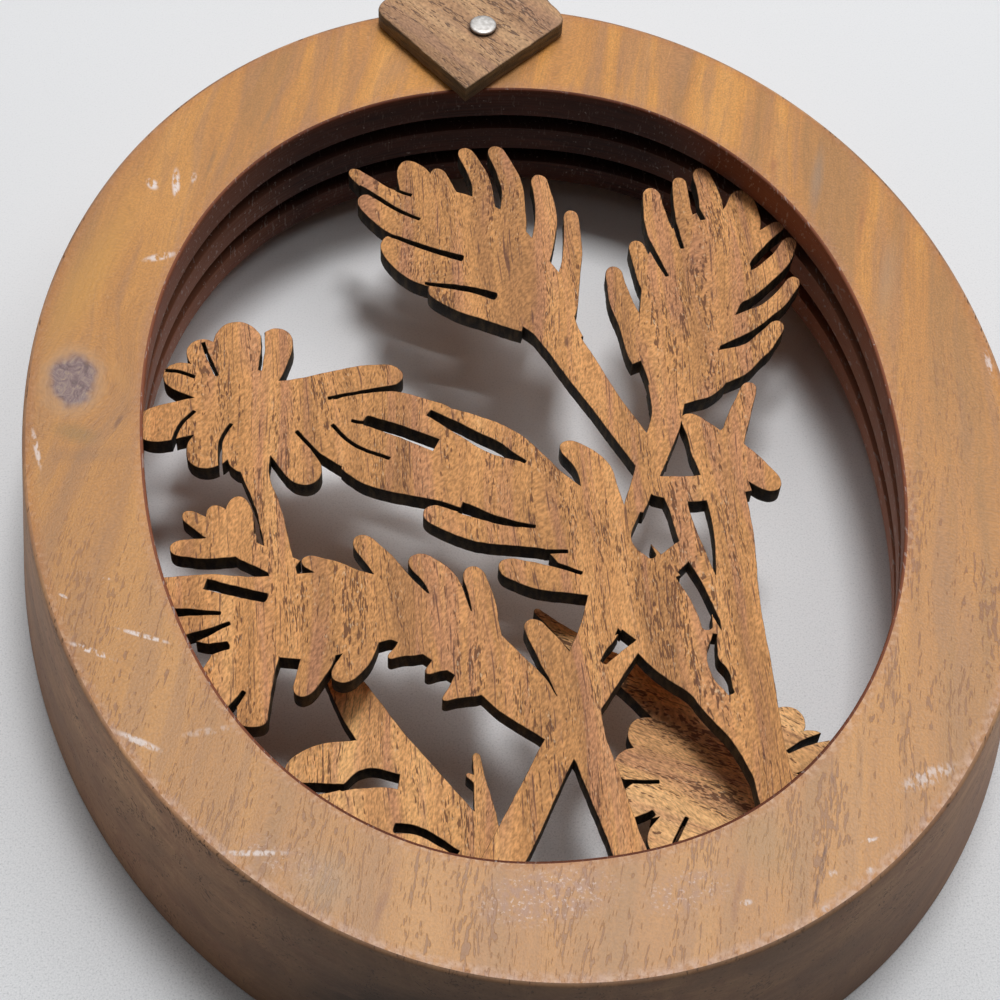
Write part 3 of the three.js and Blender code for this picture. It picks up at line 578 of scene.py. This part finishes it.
# %% Wall of the opening, scorched by the cutter
def scorched_hardwood_wall():
    """Scorched wood: nearly black in the grooves, where painted shade darkens them, and red-brown
    on the lip and the bands, lighter towards the sides of the opening where painted light falls,
    with cutter lines that run round the opening, and white dust and fibres caught on them."""
    material, tree, in_mm = new_material("Scorched hardwood")
    on_wall = place_on_wall(tree)
    lines = speckle(tree, on_wall, 1.0, 0.3, 0.72, stretch=(0.07, 2.4, 1))
    colour = stain(tree, "#24120E", "#46261C", lines)
    patches = speckle(tree, on_wall, 9.0, 0.40, 0.66, stretch=(0.5, 1.2, 1))
    colour = stain(tree, colour, "#5E3526", patches, 0.4)
    aside = add(
        tree, "Math", (add(tree, "SeparateXYZ", (in_mm,), out="X"),), operation="ABSOLUTE"
    )
    # Painted light: the wall turns lighter red-brown towards the sides of the opening, which the
    # lamps reach.
    painted_light_at_sides = add(tree, "MapRange", (aside, 24.0, 44.0, 0.0, 0.85))
    colour = stain(tree, colour, "#A0664C", painted_light_at_sides)
    # Painted shade: the grooves are made nearly black.
    groove = add(tree, "Attribute", out="Fac", attribute_name="in_groove")
    colour = stain(tree, colour, "#140A08", groove, 0.9)
    # The lip's upper edge is lighter red-brown, partly rubbed through the scorch and partly a
    # painted sheen.
    edge = add(tree, "Attribute", out="Fac", attribute_name="edge_wear")
    colour = stain(tree, colour, "#7A4128", edge, 0.5)
    dust = speckle(tree, in_mm, 0.55, 0.67, 0.74)
    hair = speckle(tree, in_mm, 0.9, 0.62, 0.66, stretch=(3.2, 0.5, 0.7))
    hairier = add(tree, "MapRange", (aside, 20.0, 40.0, 0.2, 0.8))
    hair = add(tree, "Math", (hair, hairier), operation="MULTIPLY")
    lint = add(tree, "Math", (dust, hair), operation="MAXIMUM")
    colour = stain(tree, colour, "#BDAEA6", lint, 0.6)
    return finished(material, {
        "Base Color": colour,
        "Normal": add(tree, "Bump", {"Height": lines, "Strength": 0.5, "Distance": 0.12 * MM}),
        "Roughness": 0.6,
        "IOR": 1.45,
        "Specular IOR Level": 0.2,
    })


scorched_wood = scorched_hardwood_wall()

# %% [markdown]
# ## The ring
# On the workbench the ring was sawn from one board with a tilted table, which gives its leaning
# walls, and then grooved twice from the inside. Here one profile is carried round the oval. Each
# point of the profile lies between the outside oval and the opening's oval, at some depth below
# the face. The edges are small arcs, because sandpaper rounds them, and the hand-sawn outline
# wavers by a tenth of a millimetre.

# %% Ovals
def oval(turn, shape, grow):
    """Point of an oval that is grown by some millimetres. Across and up are cosine and sine of
    the turn, taken to the power 2 over the squareness with their signs kept. Across is widened
    by the taper times up, each is multiplied by its half size, and the top leans aside."""
    cos, sin = np.cos(turn), np.sin(turn)
    power = 2 / shape["squareness"]
    across = np.sign(cos) * np.abs(cos) ** power
    up = np.sign(sin) * np.abs(sin) ** power
    x = (shape["half"][0] + grow) * across * (1 + shape["taper"] * up)
    x = x + shape["top_aside"] * up + shape["aside"]
    y = (shape["half"][1] + grow) * up - shape["drop"]
    return np.stack([x + ring_middle[0], y + ring_middle[1]], -1)


def wander(turn, size, seed):
    """A slow waver of an outline: five sines of 3 to 11 turns round it, with seeded phases."""
    random = np.random.default_rng(seed)
    waves = random.integers(3, 12, 5)
    phases = random.uniform(0, 2 * np.pi, 5)
    return size * np.sin(turn[..., None] * waves + phases).mean(-1)


# %% Profile of the ring
# A point of the profile is a part (the oval that it belongs to), an offset in millimetres that
# grows that oval, and a depth below the face.
OUTSIDE, OPENING = 0.0, 1.0


def arc(start, end, bulge, steps=5):
    """Rounds a corner from start to end, both (part, offset, depth), on a quadratic curve
    whose middle control is bulge."""
    t = np.linspace(0, 1, steps)[:, None]
    start, end, bulge = np.array(start), np.array(end), np.array(bulge)
    return (1 - t) ** 2 * start + 2 * t * (1 - t) * bulge + t ** 2 * end


def straight(start, end, steps):
    """Points from start to end, without the last one."""
    t = np.linspace(0, 1, steps, endpoint=False)[:, None]
    return np.array(start) * (1 - t) + np.array(end) * t


def groove(start):
    """A square groove in the wall of the opening, with its two lips slightly rounded."""
    end = start + groove_width
    above, below = (OPENING, 0, start - groove_round), (OPENING, 0, end + groove_round)
    return [
        arc(above, (OPENING, groove_round, start), (OPENING, 0, start), 3),
        [(OPENING, groove_depth, start), (OPENING, groove_depth, end)],
        arc((OPENING, groove_round, end), below, (OPENING, 0, end), 3),
    ]


face_rim, face_lip = (OUTSIDE, -edge_round, 0), (OPENING, edge_round, 0)
wall_top = (OPENING, 0, edge_round)
foot_inside = (OPENING, underside_bevel, ring_depth)
foot_rim = (OUTSIDE, -edge_round, ring_depth)
outside_foot, outside_top = (OUTSIDE, 0, ring_depth - edge_round), (OUTSIDE, 0, edge_round)
profile_parts = {
    "face": [straight(face_rim, face_lip, 10)],
    "wall": [
        arc(face_lip, wall_top, (OPENING, 0, 0)),
        straight(wall_top, (OPENING, 0, first_groove - groove_round), 4)[1:],
        *groove(first_groove),
        *groove(second_groove),
        [(OPENING, 0, bevel_start)],
    ],
    "under": [[foot_inside], straight(foot_inside, foot_rim, 4)[1:]],
    "outside": [
        arc(foot_rim, outside_foot, (OUTSIDE, 0, ring_depth)),
        straight(outside_foot, outside_top, 8)[1:],
        arc(outside_top, face_rim, (OUTSIDE, 0, 0))[:-1],
    ],
}
profile = {part: np.concatenate(pieces) for part, pieces in profile_parts.items()}
points_of_part = [len(points) for points in profile.values()]
print("points of the ring's profile:", dict(zip(profile, points_of_part)))

# %% The profile carried round the oval
ring_steps = 480
hand_waver = 0.1
rim_width = 0.45


def finished_ring():
    """Carries the profile round. A point with part s lies at (1 - s) of the way from the
    opening's oval to the outside's, both grown by its offset, by the lean at its depth and by
    the hand's waver. The outside's waver only goes inwards, to stay in the piece's size."""
    rows = np.concatenate(list(profile.values()))
    part, offset, depth = rows.T
    turn = np.linspace(0, 2 * np.pi, ring_steps, endpoint=False)
    outer_waver = wander(turn, hand_waver, 3) - 0.9 * hand_waver
    inner_waver = wander(turn, hand_waver, 8)
    outer_grow = offset + outer_lean * depth / ring_depth + outer_waver[:, None]
    inner_grow = offset + opening_lean * depth / ring_depth + inner_waver[:, None]
    outside = oval(turn[:, None], outside_oval, outer_grow)
    opening = oval(turn[:, None], opening_oval, inner_grow)
    flat = outside * (1 - part)[None, :, None] + opening * part[None, :, None]
    grid = flat.shape[:2]
    height = np.broadcast_to(ring_depth - depth + ring_low[2], grid)
    points = np.concatenate([flat, height[:, :, None]], -1)
    faces = grid_faces(ring_steps, len(rows), close_columns=True)[:, ::-1]
    ring = mesh_object("ring_of_oiled_wood", points.reshape(-1, 3), faces.tolist(), 50)
    walked = np.linalg.norm(np.diff(outside[:, 0], axis=0, append=outside[:1, 0]), axis=-1)
    along = np.concatenate([[0], np.cumsum(walked)[:-1]])[:, None]
    on_a_rim = (part == OUTSIDE) | (part == OPENING)
    for name, values in {
        "along": along,
        "down": depth,
        "in_groove": (offset > groove_depth * 0.9) & (depth < bevel_start),
        "edge_wear": np.exp(-(depth / rim_width) ** 2) * on_a_rim,
        "across": part,
    }.items():
        store(ring, name, np.broadcast_to(values, grid))
    return ring


# %% The ring and its surfaces
ring = finished_ring()
for wood in (face_wood, scorched_wood, wall_wood):
    ring.data.materials.append(wood)
slot_of_part = [0, 1, 0, 2]
slot_of_row = np.repeat(slot_of_part, points_of_part)
slots = np.tile(slot_of_row, ring_steps).astype(np.int32)
ring.data.polygons.foreach_set("material_index", slots)
ring.data.update()
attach(ring, "plaque")
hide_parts("frame_ring")

# %% [markdown]
# ## The sawn sheets
# Each layer of flowers and leaves is one thin sheet, cut with a very fine blade. The blade heats
# the wood, so the cut walls come out charred, while the top keeps the colour of the bare board.
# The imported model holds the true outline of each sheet, as the border of its flat upper face.
# That outline is read back, drawn through smooth curves where it bends gently and kept sharp at
# its corners, and given the slight waver of a hand-fed saw. A small profile carried along it
# makes the wall and its two sanded edges, and a fill closes the two faces.

# %% The outline of a sheet
def triangles_of(node):
    """A node's points in millimetres, each kept once, and its triangles as point numbers."""
    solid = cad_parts[node].data
    solid.calc_loop_triangles()
    corners = np.empty(len(solid.vertices) * 3)
    solid.vertices.foreach_get("co", corners)
    triangles = np.empty(len(solid.loop_triangles) * 3, np.int32)
    solid.loop_triangles.foreach_get("vertices", triangles)
    corners = (corners / MM).round(3).reshape(-1, 3)
    points, merged = np.unique(corners, axis=0, return_inverse=True)
    return points, merged.ravel()[triangles].reshape(-1, 3)


def outline_of(node):
    """Points of the border of a node's upper face, and the number of the point after each. A
    directed edge of that face lies on the border when no triangle uses it the other way.
    Also gives the heights of the lower and the upper face."""
    points, triangles = triangles_of(node)
    bottom, top = points[:, 2].min(), points[:, 2].max()
    upper = triangles[(points[triangles][:, :, 2] > top - 0.01).all(1)]
    edges = np.concatenate([upper[:, [0, 1]], upper[:, [1, 2]], upper[:, [2, 0]]])
    forward = edges[:, 0] * len(points) + edges[:, 1]
    backward = edges[:, 1] * len(points) + edges[:, 0]
    border = edges[~np.isin(forward, backward)]
    used = np.unique(border)
    number = np.zeros(len(points), int)
    number[used] = np.arange(len(used))
    after = np.empty(len(used), int)
    after[number[border[:, 0]]] = number[border[:, 1]]
    return points[used][:, :2], after, bottom, top


# %% Smooth curves through the outline
def unit(vectors):
    """Each vector divided by its length."""
    return vectors / np.maximum(np.linalg.norm(vectors, axis=-1, keepdims=True), 1e-9)


def before_of(after):
    """The number of the point before each point."""
    before = np.empty_like(after)
    before[after] = np.arange(len(after))
    return before


curve_spacing = 0.35
corner_turn = 35


def smoothed(points, after):
    """A Hermite curve through each pair of neighbours, cut into pieces about curve_spacing
    long. A point's tangent runs from its neighbour before to its neighbour after, but where
    the outline turns by more than corner_turn degrees it follows the straight edge, which
    keeps the corner. Also gives the same points left on the straight chords, for filling the
    faces, and the number of the point after each."""
    incoming = points - points[before_of(after)]
    outgoing = points[after] - points
    straightness = (unit(incoming) * unit(outgoing)).sum(-1)
    gentle = (straightness > math.cos(math.radians(corner_turn)))[:, None]
    through = unit(incoming + outgoing)
    length = np.linalg.norm(outgoing, axis=-1, keepdims=True)
    leave = np.where(gentle, through, unit(outgoing)) * length
    arrive = np.where(gentle, through, unit(incoming))[after] * length
    pieces = np.maximum(np.ceil(length[:, 0] / curve_spacing), 1).astype(int)
    first = np.cumsum(pieces) - pieces
    owner = np.repeat(np.arange(len(points)), pieces)
    t = ((np.arange(len(owner)) - first[owner]) / pieces[owner])[:, None]
    curve = (
        (2 * t ** 3 - 3 * t ** 2 + 1) * points[owner]
        + (t ** 3 - 2 * t ** 2 + t) * leave[owner]
        + (3 * t ** 2 - 2 * t ** 3) * points[after][owner]
        + (t ** 3 - t ** 2) * arrive[owner]
    )
    chord = points[owner] * (1 - t) + points[after][owner] * t
    last = np.append(owner[1:] != owner[:-1], True)
    following = np.where(last, first[after[owner]], np.arange(len(owner)) + 1)
    return curve, chord, following


def saw_waver(points, size, seed):
    """Moves points by up to about size: a sum of twelve plane waves, 0.7 to 4 mm long in
    seeded directions, taken at each point's place. Half of them move it across and half up."""
    random = np.random.default_rng(seed)
    lengths = random.uniform(0.7, 4.0, 12)
    directions = random.uniform(0, 2 * np.pi, 12)
    waves = np.stack([np.cos(directions), np.sin(directions)]) * 2 * np.pi / lengths
    phase = points @ waves + random.uniform(0, 2 * np.pi, 12)
    move = np.stack([np.sin(phase[:, :6]).sum(-1), np.sin(phase[:, 6:]).sum(-1)], -1)
    return points + move * size / 3


# %% The faces of a sheet
def inside(places, starts, ends):
    """Whether each place lies in the sheet: a ray from it towards +X crosses the outline's
    edges an odd number of times."""
    x, y = places[:, :1], places[:, 1:]
    low, high = starts[:, 1], ends[:, 1]
    spans = (low > y) != (high > y)
    rise = np.where(high == low, 1e-12, high - low)
    cross_x = starts[:, 0] + (y - low) * (ends[:, 0] - starts[:, 0]) / rise
    return (spans & (cross_x > x)).sum(1) % 2 == 1


def filled(chord, after):
    """Triangles between the points of an outline, without those that fill its holes."""
    border = [Vector(place) for place in chord.tolist()]
    edges = np.stack([np.arange(len(after)), after], -1).tolist()
    _, _, triangles, origins, _, _ = delaunay_2d_cdt(border, edges, [], 4, 1e-6)
    own_number = np.array([origin[0] for origin in origins])
    triangles = own_number[np.array(triangles)]
    return triangles[inside(chord[triangles].mean(1), chord, chord[after])]


# %% A sheet from its outline
def mitres(points, after):
    """For each point, how far it moves for each millimetre that the outline is inset: along
    the inward normal, divided by the cosine of half the turn, which is kept above 0.6."""
    incoming = unit(points - points[before_of(after)])
    outgoing = unit(points[after] - points)
    ahead = unit(incoming + outgoing)
    inward = np.stack([-ahead[:, 1], ahead[:, 0]], -1)
    half_turn = np.sqrt(np.clip((1 + (incoming * outgoing).sum(-1)) / 2, 0.36, 1))
    return inward / half_turn[:, None]


def sawn_sheet(node, name, edge, waver, seed):
    """A profile carried along the outline of a node: from the upper face, over a sanded edge,
    down the wall and round to the lower face. Each profile point is an inset from the outline
    along its mitre, and a depth. Both faces are filled from the first and last rows."""
    points, after, bottom, top = outline_of(node)
    points, chord, after = smoothed(points, after)
    points = saw_waver(points, waver, seed)
    thick = top - bottom
    near = 0.3 * edge
    inset, depth, in_wall = np.array([
        (edge, 0, 0), (near, near, 0.7), (0, edge, 1),
        (0, thick - edge, 1), (near, thick - near, 0.7), (edge, thick, 0),
    ]).T[:, :, None]
    grid = (len(inset), len(points))
    flat = points[None] + mitres(points, after)[None] * inset[..., None]
    height = np.broadcast_to((top - depth)[..., None], (*grid, 1))
    number = np.arange(len(points))
    row = np.arange(len(inset) - 1)[:, None] * len(points)
    below = row + len(points)
    walls = np.stack([row + number, below + number, below + after, row + after], -1)
    cap = filled(chord, after)
    lower_cap = cap[:, ::-1] + (len(inset) - 1) * len(points)
    faces = walls.reshape(-1, 4).tolist() + cap.tolist() + lower_cap.tolist()
    made = mesh_object(name, np.concatenate([flat, height], -1).reshape(-1, 3), faces, 30)
    store(made, "in_wall", np.broadcast_to(in_wall, grid))
    return made


# %% Sawn sheet wood
def with_walls(tree, colour, dark, light, patches):
    """The face colour on the two faces, and two colours in patches on the cut walls."""
    in_wall = add(tree, "Attribute", out="Fac", attribute_name="in_wall")
    return stain(tree, colour, stain(tree, dark, light, patches), in_wall)


def sawn_sheet_wood(name, wood):
    """Bare fine-sawn sheet wood, a bit furry, with charred cut walls that are rubbed lighter
    in spots."""
    material, tree, in_mm = new_material(name)
    colour, height = grain(tree, in_mm, wood)
    rubbed = speckle(tree, in_mm, 0.9, 0.42, 0.68, stretch=(1, 1, 0.35))
    return finished(material, {
        "Base Color": with_walls(tree, colour, "#1B130D", "#4C3E2B", rubbed),
        "Normal": add(tree, "Bump", {"Height": height, "Strength": 0.5, "Distance": 0.12 * MM}),
        "Roughness": 0.7,
        "IOR": 1.45,
        "Specular IOR Level": 0.25,
    })


bare_wood = {
    "turn": 3, "seed": 7.0, "bands": ("#B48052", "#C9905A", "#D89B62", "#E4AA6E"),
    "band_width": 4.0, "tint": "#B67E64", "tinting": 0.5,
    "silk": 0.12, "nap": 0.28, "nap_size": (0.24, 0.62), "nap_lean": 20,
    "pore": "#64402E", "pores": 0.4, "pore_size": (0.17, 1.3),
    "line": "#5C3C36", "lines": 0.75, "painted_glint": "#F0CCA4", "painted_glints": 0.6,
}
left_grain = {
    **bare_wood, "turn": 6, "seed": 19.0, "bands": ("#C08C5C", "#D69C66", "#E4A86C", "#EEB678"),
}
daisy_grain = {
    **bare_wood, "turn": 118, "seed": 31.0, "bands": ("#CC9866", "#DEA870", "#EAB47A", "#F2C086"),
    "pores": 0.8, "pore_size": (0.2, 0.9), "lines": 0.4,
}

# %% The three sheets
sheet_edge = 0.1
sheet_waver = 0.03
sheets = {
    # node: name, slot, material, grain, seed of the saw's waver
    "front_fretwork": (
        "front_sheet_of_leaves", "front_wood", "Bare sheet wood, front", bare_wood, 21,
    ),
    "back_left_spray": (
        "back_sheet_left", "back_wood", "Bare sheet wood, back left", left_grain, 22,
    ),
    "back_daisy": (
        "back_sheet_daisy", "daisy_wood", "Bare sheet wood, daisy", daisy_grain, 23,
    ),
}
for node, (name, slot, wood_name, wood, seed) in sheets.items():
    piece = sawn_sheet(node, name, sheet_edge, sheet_waver, seed)
    piece.data.materials.append(sawn_sheet_wood(wood_name, wood))
    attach(piece, "plaque")
    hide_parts(node)

# %% [markdown]
# ## The hanging tab and its pin
# The tab is a small piece of rougher, greyer wood with a slanting grain, held by one tack with a
# flat head. A ring of painted shadow darkens the wood just round the head.

# %% Tab
pin_low, pin_high = (np.array(corner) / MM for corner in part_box("tab_pin"))
pin_axis = (pin_low + pin_high)[:2] / 2
head_radius = (pin_high - pin_low)[0] / 2
tab_edge = 0.22
tab_waver = 0.04
tab_grain = {
    "turn": -38, "seed": 51.0, "bands": ("#90694A", "#A67E5B", "#B28863", "#C0976F"),
    "band_width": 3.2, "tint": "#9C7460", "tinting": 0.4,
    "silk": 0.12, "nap": 0.22, "nap_size": (0.26, 0.6), "nap_lean": 12,
    "pore": "#5A4030", "pores": 0.7, "pore_size": (0.2, 1.2),
    "line": "#5A4030", "lines": 0.5, "painted_glint": "#DDBB9C", "painted_glints": 0.6,
}


def from_pin_axis(tree, in_mm):
    """Distance from the pin's axis, divided by the radius of its head. A huge size along Z
    leaves the height out of it."""
    local = add(tree, "Mapping", {
        "Vector": in_mm, "Location": (*pin_axis, 0), "Scale": (head_radius, head_radius, 1e6),
    }, vector_type="TEXTURE")
    return add(tree, "VectorMath", (local,), out="Value", operation="LENGTH")


def weathered_tab_wood():
    """Greyed, open-pored wood with sawn edges that show olive-brown layers."""
    material, tree, in_mm = new_material("Weathered tab wood")
    colour, height = grain(tree, in_mm, tab_grain)
    layers = speckle(tree, in_mm, 1.0, 0.35, 0.65, stretch=(0.25, 0.25, 1.8))
    colour = with_walls(tree, colour, "#3A2A14", "#6E5634", layers)
    distance = from_pin_axis(tree, in_mm)
    # Painted shadow: a dark ring on the tab just round the tack's head.
    painted_pin_shadow = add(
        tree, "MapRange", (distance, 1.35, 1.02), interpolation_type="SMOOTHSTEP"
    )
    return finished(material, {
        "Base Color": stain(tree, colour, "#4A3020", painted_pin_shadow, 0.7),
        "Normal": add(tree, "Bump", {"Height": height, "Strength": 0.6, "Distance": 0.18 * MM}),
        "Roughness": 0.65,
        "IOR": 1.45,
    })


tab = sawn_sheet("hanger_tab", "hanging_tab", tab_edge, tab_waver, 24)
tab.data.materials.append(weathered_tab_wood())
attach(tab, "tab")
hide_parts("hanger_tab")


# %% Plated steel
def nickel_plated_steel():
    """A tack's head: soft grey plating, dulled by fine scratches, with grime at its rim."""
    material, tree, in_mm = new_material("Nickel-plated steel")
    colour = stain(tree, "#9A9692", "#BCB9B6", speckle(tree, in_mm, 0.7, 0.35, 0.7))
    rim = add(tree, "MapRange", (from_pin_axis(tree, in_mm), 0.86, 1.0))
    scratches = speckle(tree, in_mm, 0.3, 0.3, 0.7)
    return finished(material, {
        "Base Color": stain(tree, colour, "#6E5A4C", rim, 0.6),
        "Roughness": add(tree, "MapRange", (scratches, 0.0, 1.0, 0.34, 0.5)),
        "Metallic": 0.85,
    })


# %% Pin
pin_sides = 64
pole = 0.05
tip_radius = 0.25
point_length = 1.5
shank_radius = 0.84
head_height = 0.5
rim_centre = 0.3
rim_round = 0.22
crown_drop = 0.07


def finished_pin():
    """Turns the tack's outline about its axis: a point, a shank and a flat head. Its rim is a
    quarter circle, and its top falls from the middle by crown_drop times the square of the
    distance from the axis, divided by the head's radius. Both ends close on the axis."""
    tip, top = pin_low[2], pin_high[2]
    under_head = top - head_height
    rim = np.linspace(0, np.pi / 2, 6)
    crown_radius = np.linspace(head_radius - rim_centre, pole, 6)
    outline = np.concatenate([
        [(pole, tip), (tip_radius, tip), (shank_radius, tip + point_length)],
        [(shank_radius, under_head), (head_radius - pole, under_head)],
        np.stack([
            head_radius - rim_round + rim_round * np.cos(rim),
            top - rim_centre + rim_round * np.sin(rim),
        ], -1),
        np.stack([crown_radius, top - crown_drop * (crown_radius / head_radius) ** 2], -1),
    ])
    turn = np.linspace(0, 2 * np.pi, pin_sides, endpoint=False)[:, None]
    points = np.stack([
        pin_axis[0] + outline[:, 0] * np.cos(turn),
        pin_axis[1] + outline[:, 0] * np.sin(turn),
        np.broadcast_to(outline[:, 1], (pin_sides, len(outline))),
    ], -1).reshape(-1, 3)
    first_points = np.arange(pin_sides) * len(outline)
    faces = grid_faces(pin_sides, len(outline)).tolist()
    faces += [first_points[::-1].tolist(), (first_points + len(outline) - 1).tolist()]
    return mesh_object("tack", points, faces)


pin = finished_pin()
pin.data.materials.append(nickel_plated_steel())
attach(pin, "plaque")
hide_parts("tab_pin")

# %% [markdown]
# ## Table, light and camera
# The plaque lies on a pale, faintly sparkling sheet. All the light comes from behind and
# above: a small bright window draws the shadows of the leaves towards the viewer, and three
# wider lamps, behind, at the right and at the left, blur them and brighten the walls. The
# sky adds very little, so the shadows stay dark. The camera looks down from the front, close
# enough that the ring fills the picture.

# %% Table
table_half = 1200.0


def pale_table():
    """Matt pale grey board, with painted light that makes it a little lighter away from the
    viewer, and light and dark specks that are stronger near the viewer."""
    material, tree, in_mm = new_material("Pale grey board")
    # Painted light: the board is a little lighter away from the viewer.
    colour = stain(tree, "#DFE1E3", "#ECEDEF", fade(tree, in_mm, "Y", -90.0, 90.0))
    near = fade(tree, in_mm, "Y", 60.0, -60.0, 0.12, 0.5)
    colour = stain(tree, colour, "#FAFAFC", speckle(tree, in_mm, 0.2, 0.42, 0.62), near)
    colour = stain(tree, colour, "#B4B6BA", speckle(tree, in_mm, 0.26, 0.52, 0.70), near)
    return finished(material, {"Base Color": colour, "Roughness": 0.7})


corners = [(-1, -1, 0), (1, -1, 0), (1, 1, 0), (-1, 1, 0)]
table = mesh_object("table_top", np.array(corners) * table_half, [(0, 1, 2, 3)])
table.data.materials.append(pale_table())


# %% Lamps
def towards(azimuth, elevation):
    """Direction at an azimuth clockwise of +Y and an elevation, both in degrees: the sine and
    cosine of the azimuth times the cosine of the elevation, and the sine of the elevation."""
    turn, rise = math.radians(azimuth), math.radians(elevation)
    flat = math.cos(rise)
    return Vector((math.sin(turn) * flat, math.cos(turn) * flat, math.sin(rise)))


def soft_lamp(name, direction, size, watts):
    """A square lamp, size metres wide, that looks back at the plaque from a metre away."""
    lamp = bpy.data.lights.new(name, "AREA")
    lamp.size = size
    lamp.energy = watts
    made = bpy.data.objects.new(name, lamp)
    made.location = direction
    made.rotation_euler = direction.to_track_quat("Z", "Y").to_euler()
    bpy.context.scene.collection.objects.link(made)
    print(name, "at", made.location[:])


soft_lamp("High window", towards(22, 75), 0.24, 5.2)
soft_lamp("Soft lamp behind", towards(0, 60), 0.7, 2.0)
soft_lamp("Soft lamp at the right", towards(78, 58), 0.5, 1.8)
soft_lamp("Soft lamp at the left", towards(282, 52), 0.6, 0.35)

# %% Sky
# The sky lights the plaque faintly. The camera, and reflections, see it pale.
world = bpy.data.worlds.new("Pale sky")
world.use_nodes = True
sky = world.node_tree
sky.nodes.clear()
lit = add(sky, "Background", {"Color": linear("#F2F4F8"), "Strength": 0.045})
seen = add(sky, "Background", {"Color": linear("#E9EAEC"), "Strength": 1.0})
shown = add(sky, "LightPath", out="Is Camera Ray")
for ray in ("Is Glossy Ray", "Is Transmission Ray"):
    shown = add(sky, "Math", (shown, add(sky, "LightPath", out=ray)), operation="MAXIMUM")
add(sky, "OutputWorld", (add(sky, "MixShader", (shown, lit, seen)),))
bpy.context.scene.world = world
print("sky nodes:", len(sky.nodes))

# %% Camera
look_at = Vector((-4.48, -16.0, 24.0)) * MM
camera_distance = 233.05 * MM
towards_camera = towards(190.36, 55.5)
camera_roll = math.radians(4.28)

camera_data = bpy.data.cameras.new("Camera")
camera_data.lens = 72.0
camera_data.sensor_width = 36.0
camera_data.sensor_fit = "HORIZONTAL"
camera_data.clip_start = 0.01
camera = bpy.data.objects.new("Camera", camera_data)
bpy.context.scene.collection.objects.link(camera)
bpy.context.scene.camera = camera
camera.location = look_at + towards_camera * camera_distance
level = towards_camera.to_track_quat("Z", "Y").to_matrix()
camera.rotation_euler = (level @ Matrix.Rotation(camera_roll, 3, "Z")).to_euler()
bpy.context.scene.view_settings.view_transform = "Standard"
print("camera at, in mm:", (np.array(camera.location) / MM).round(1))
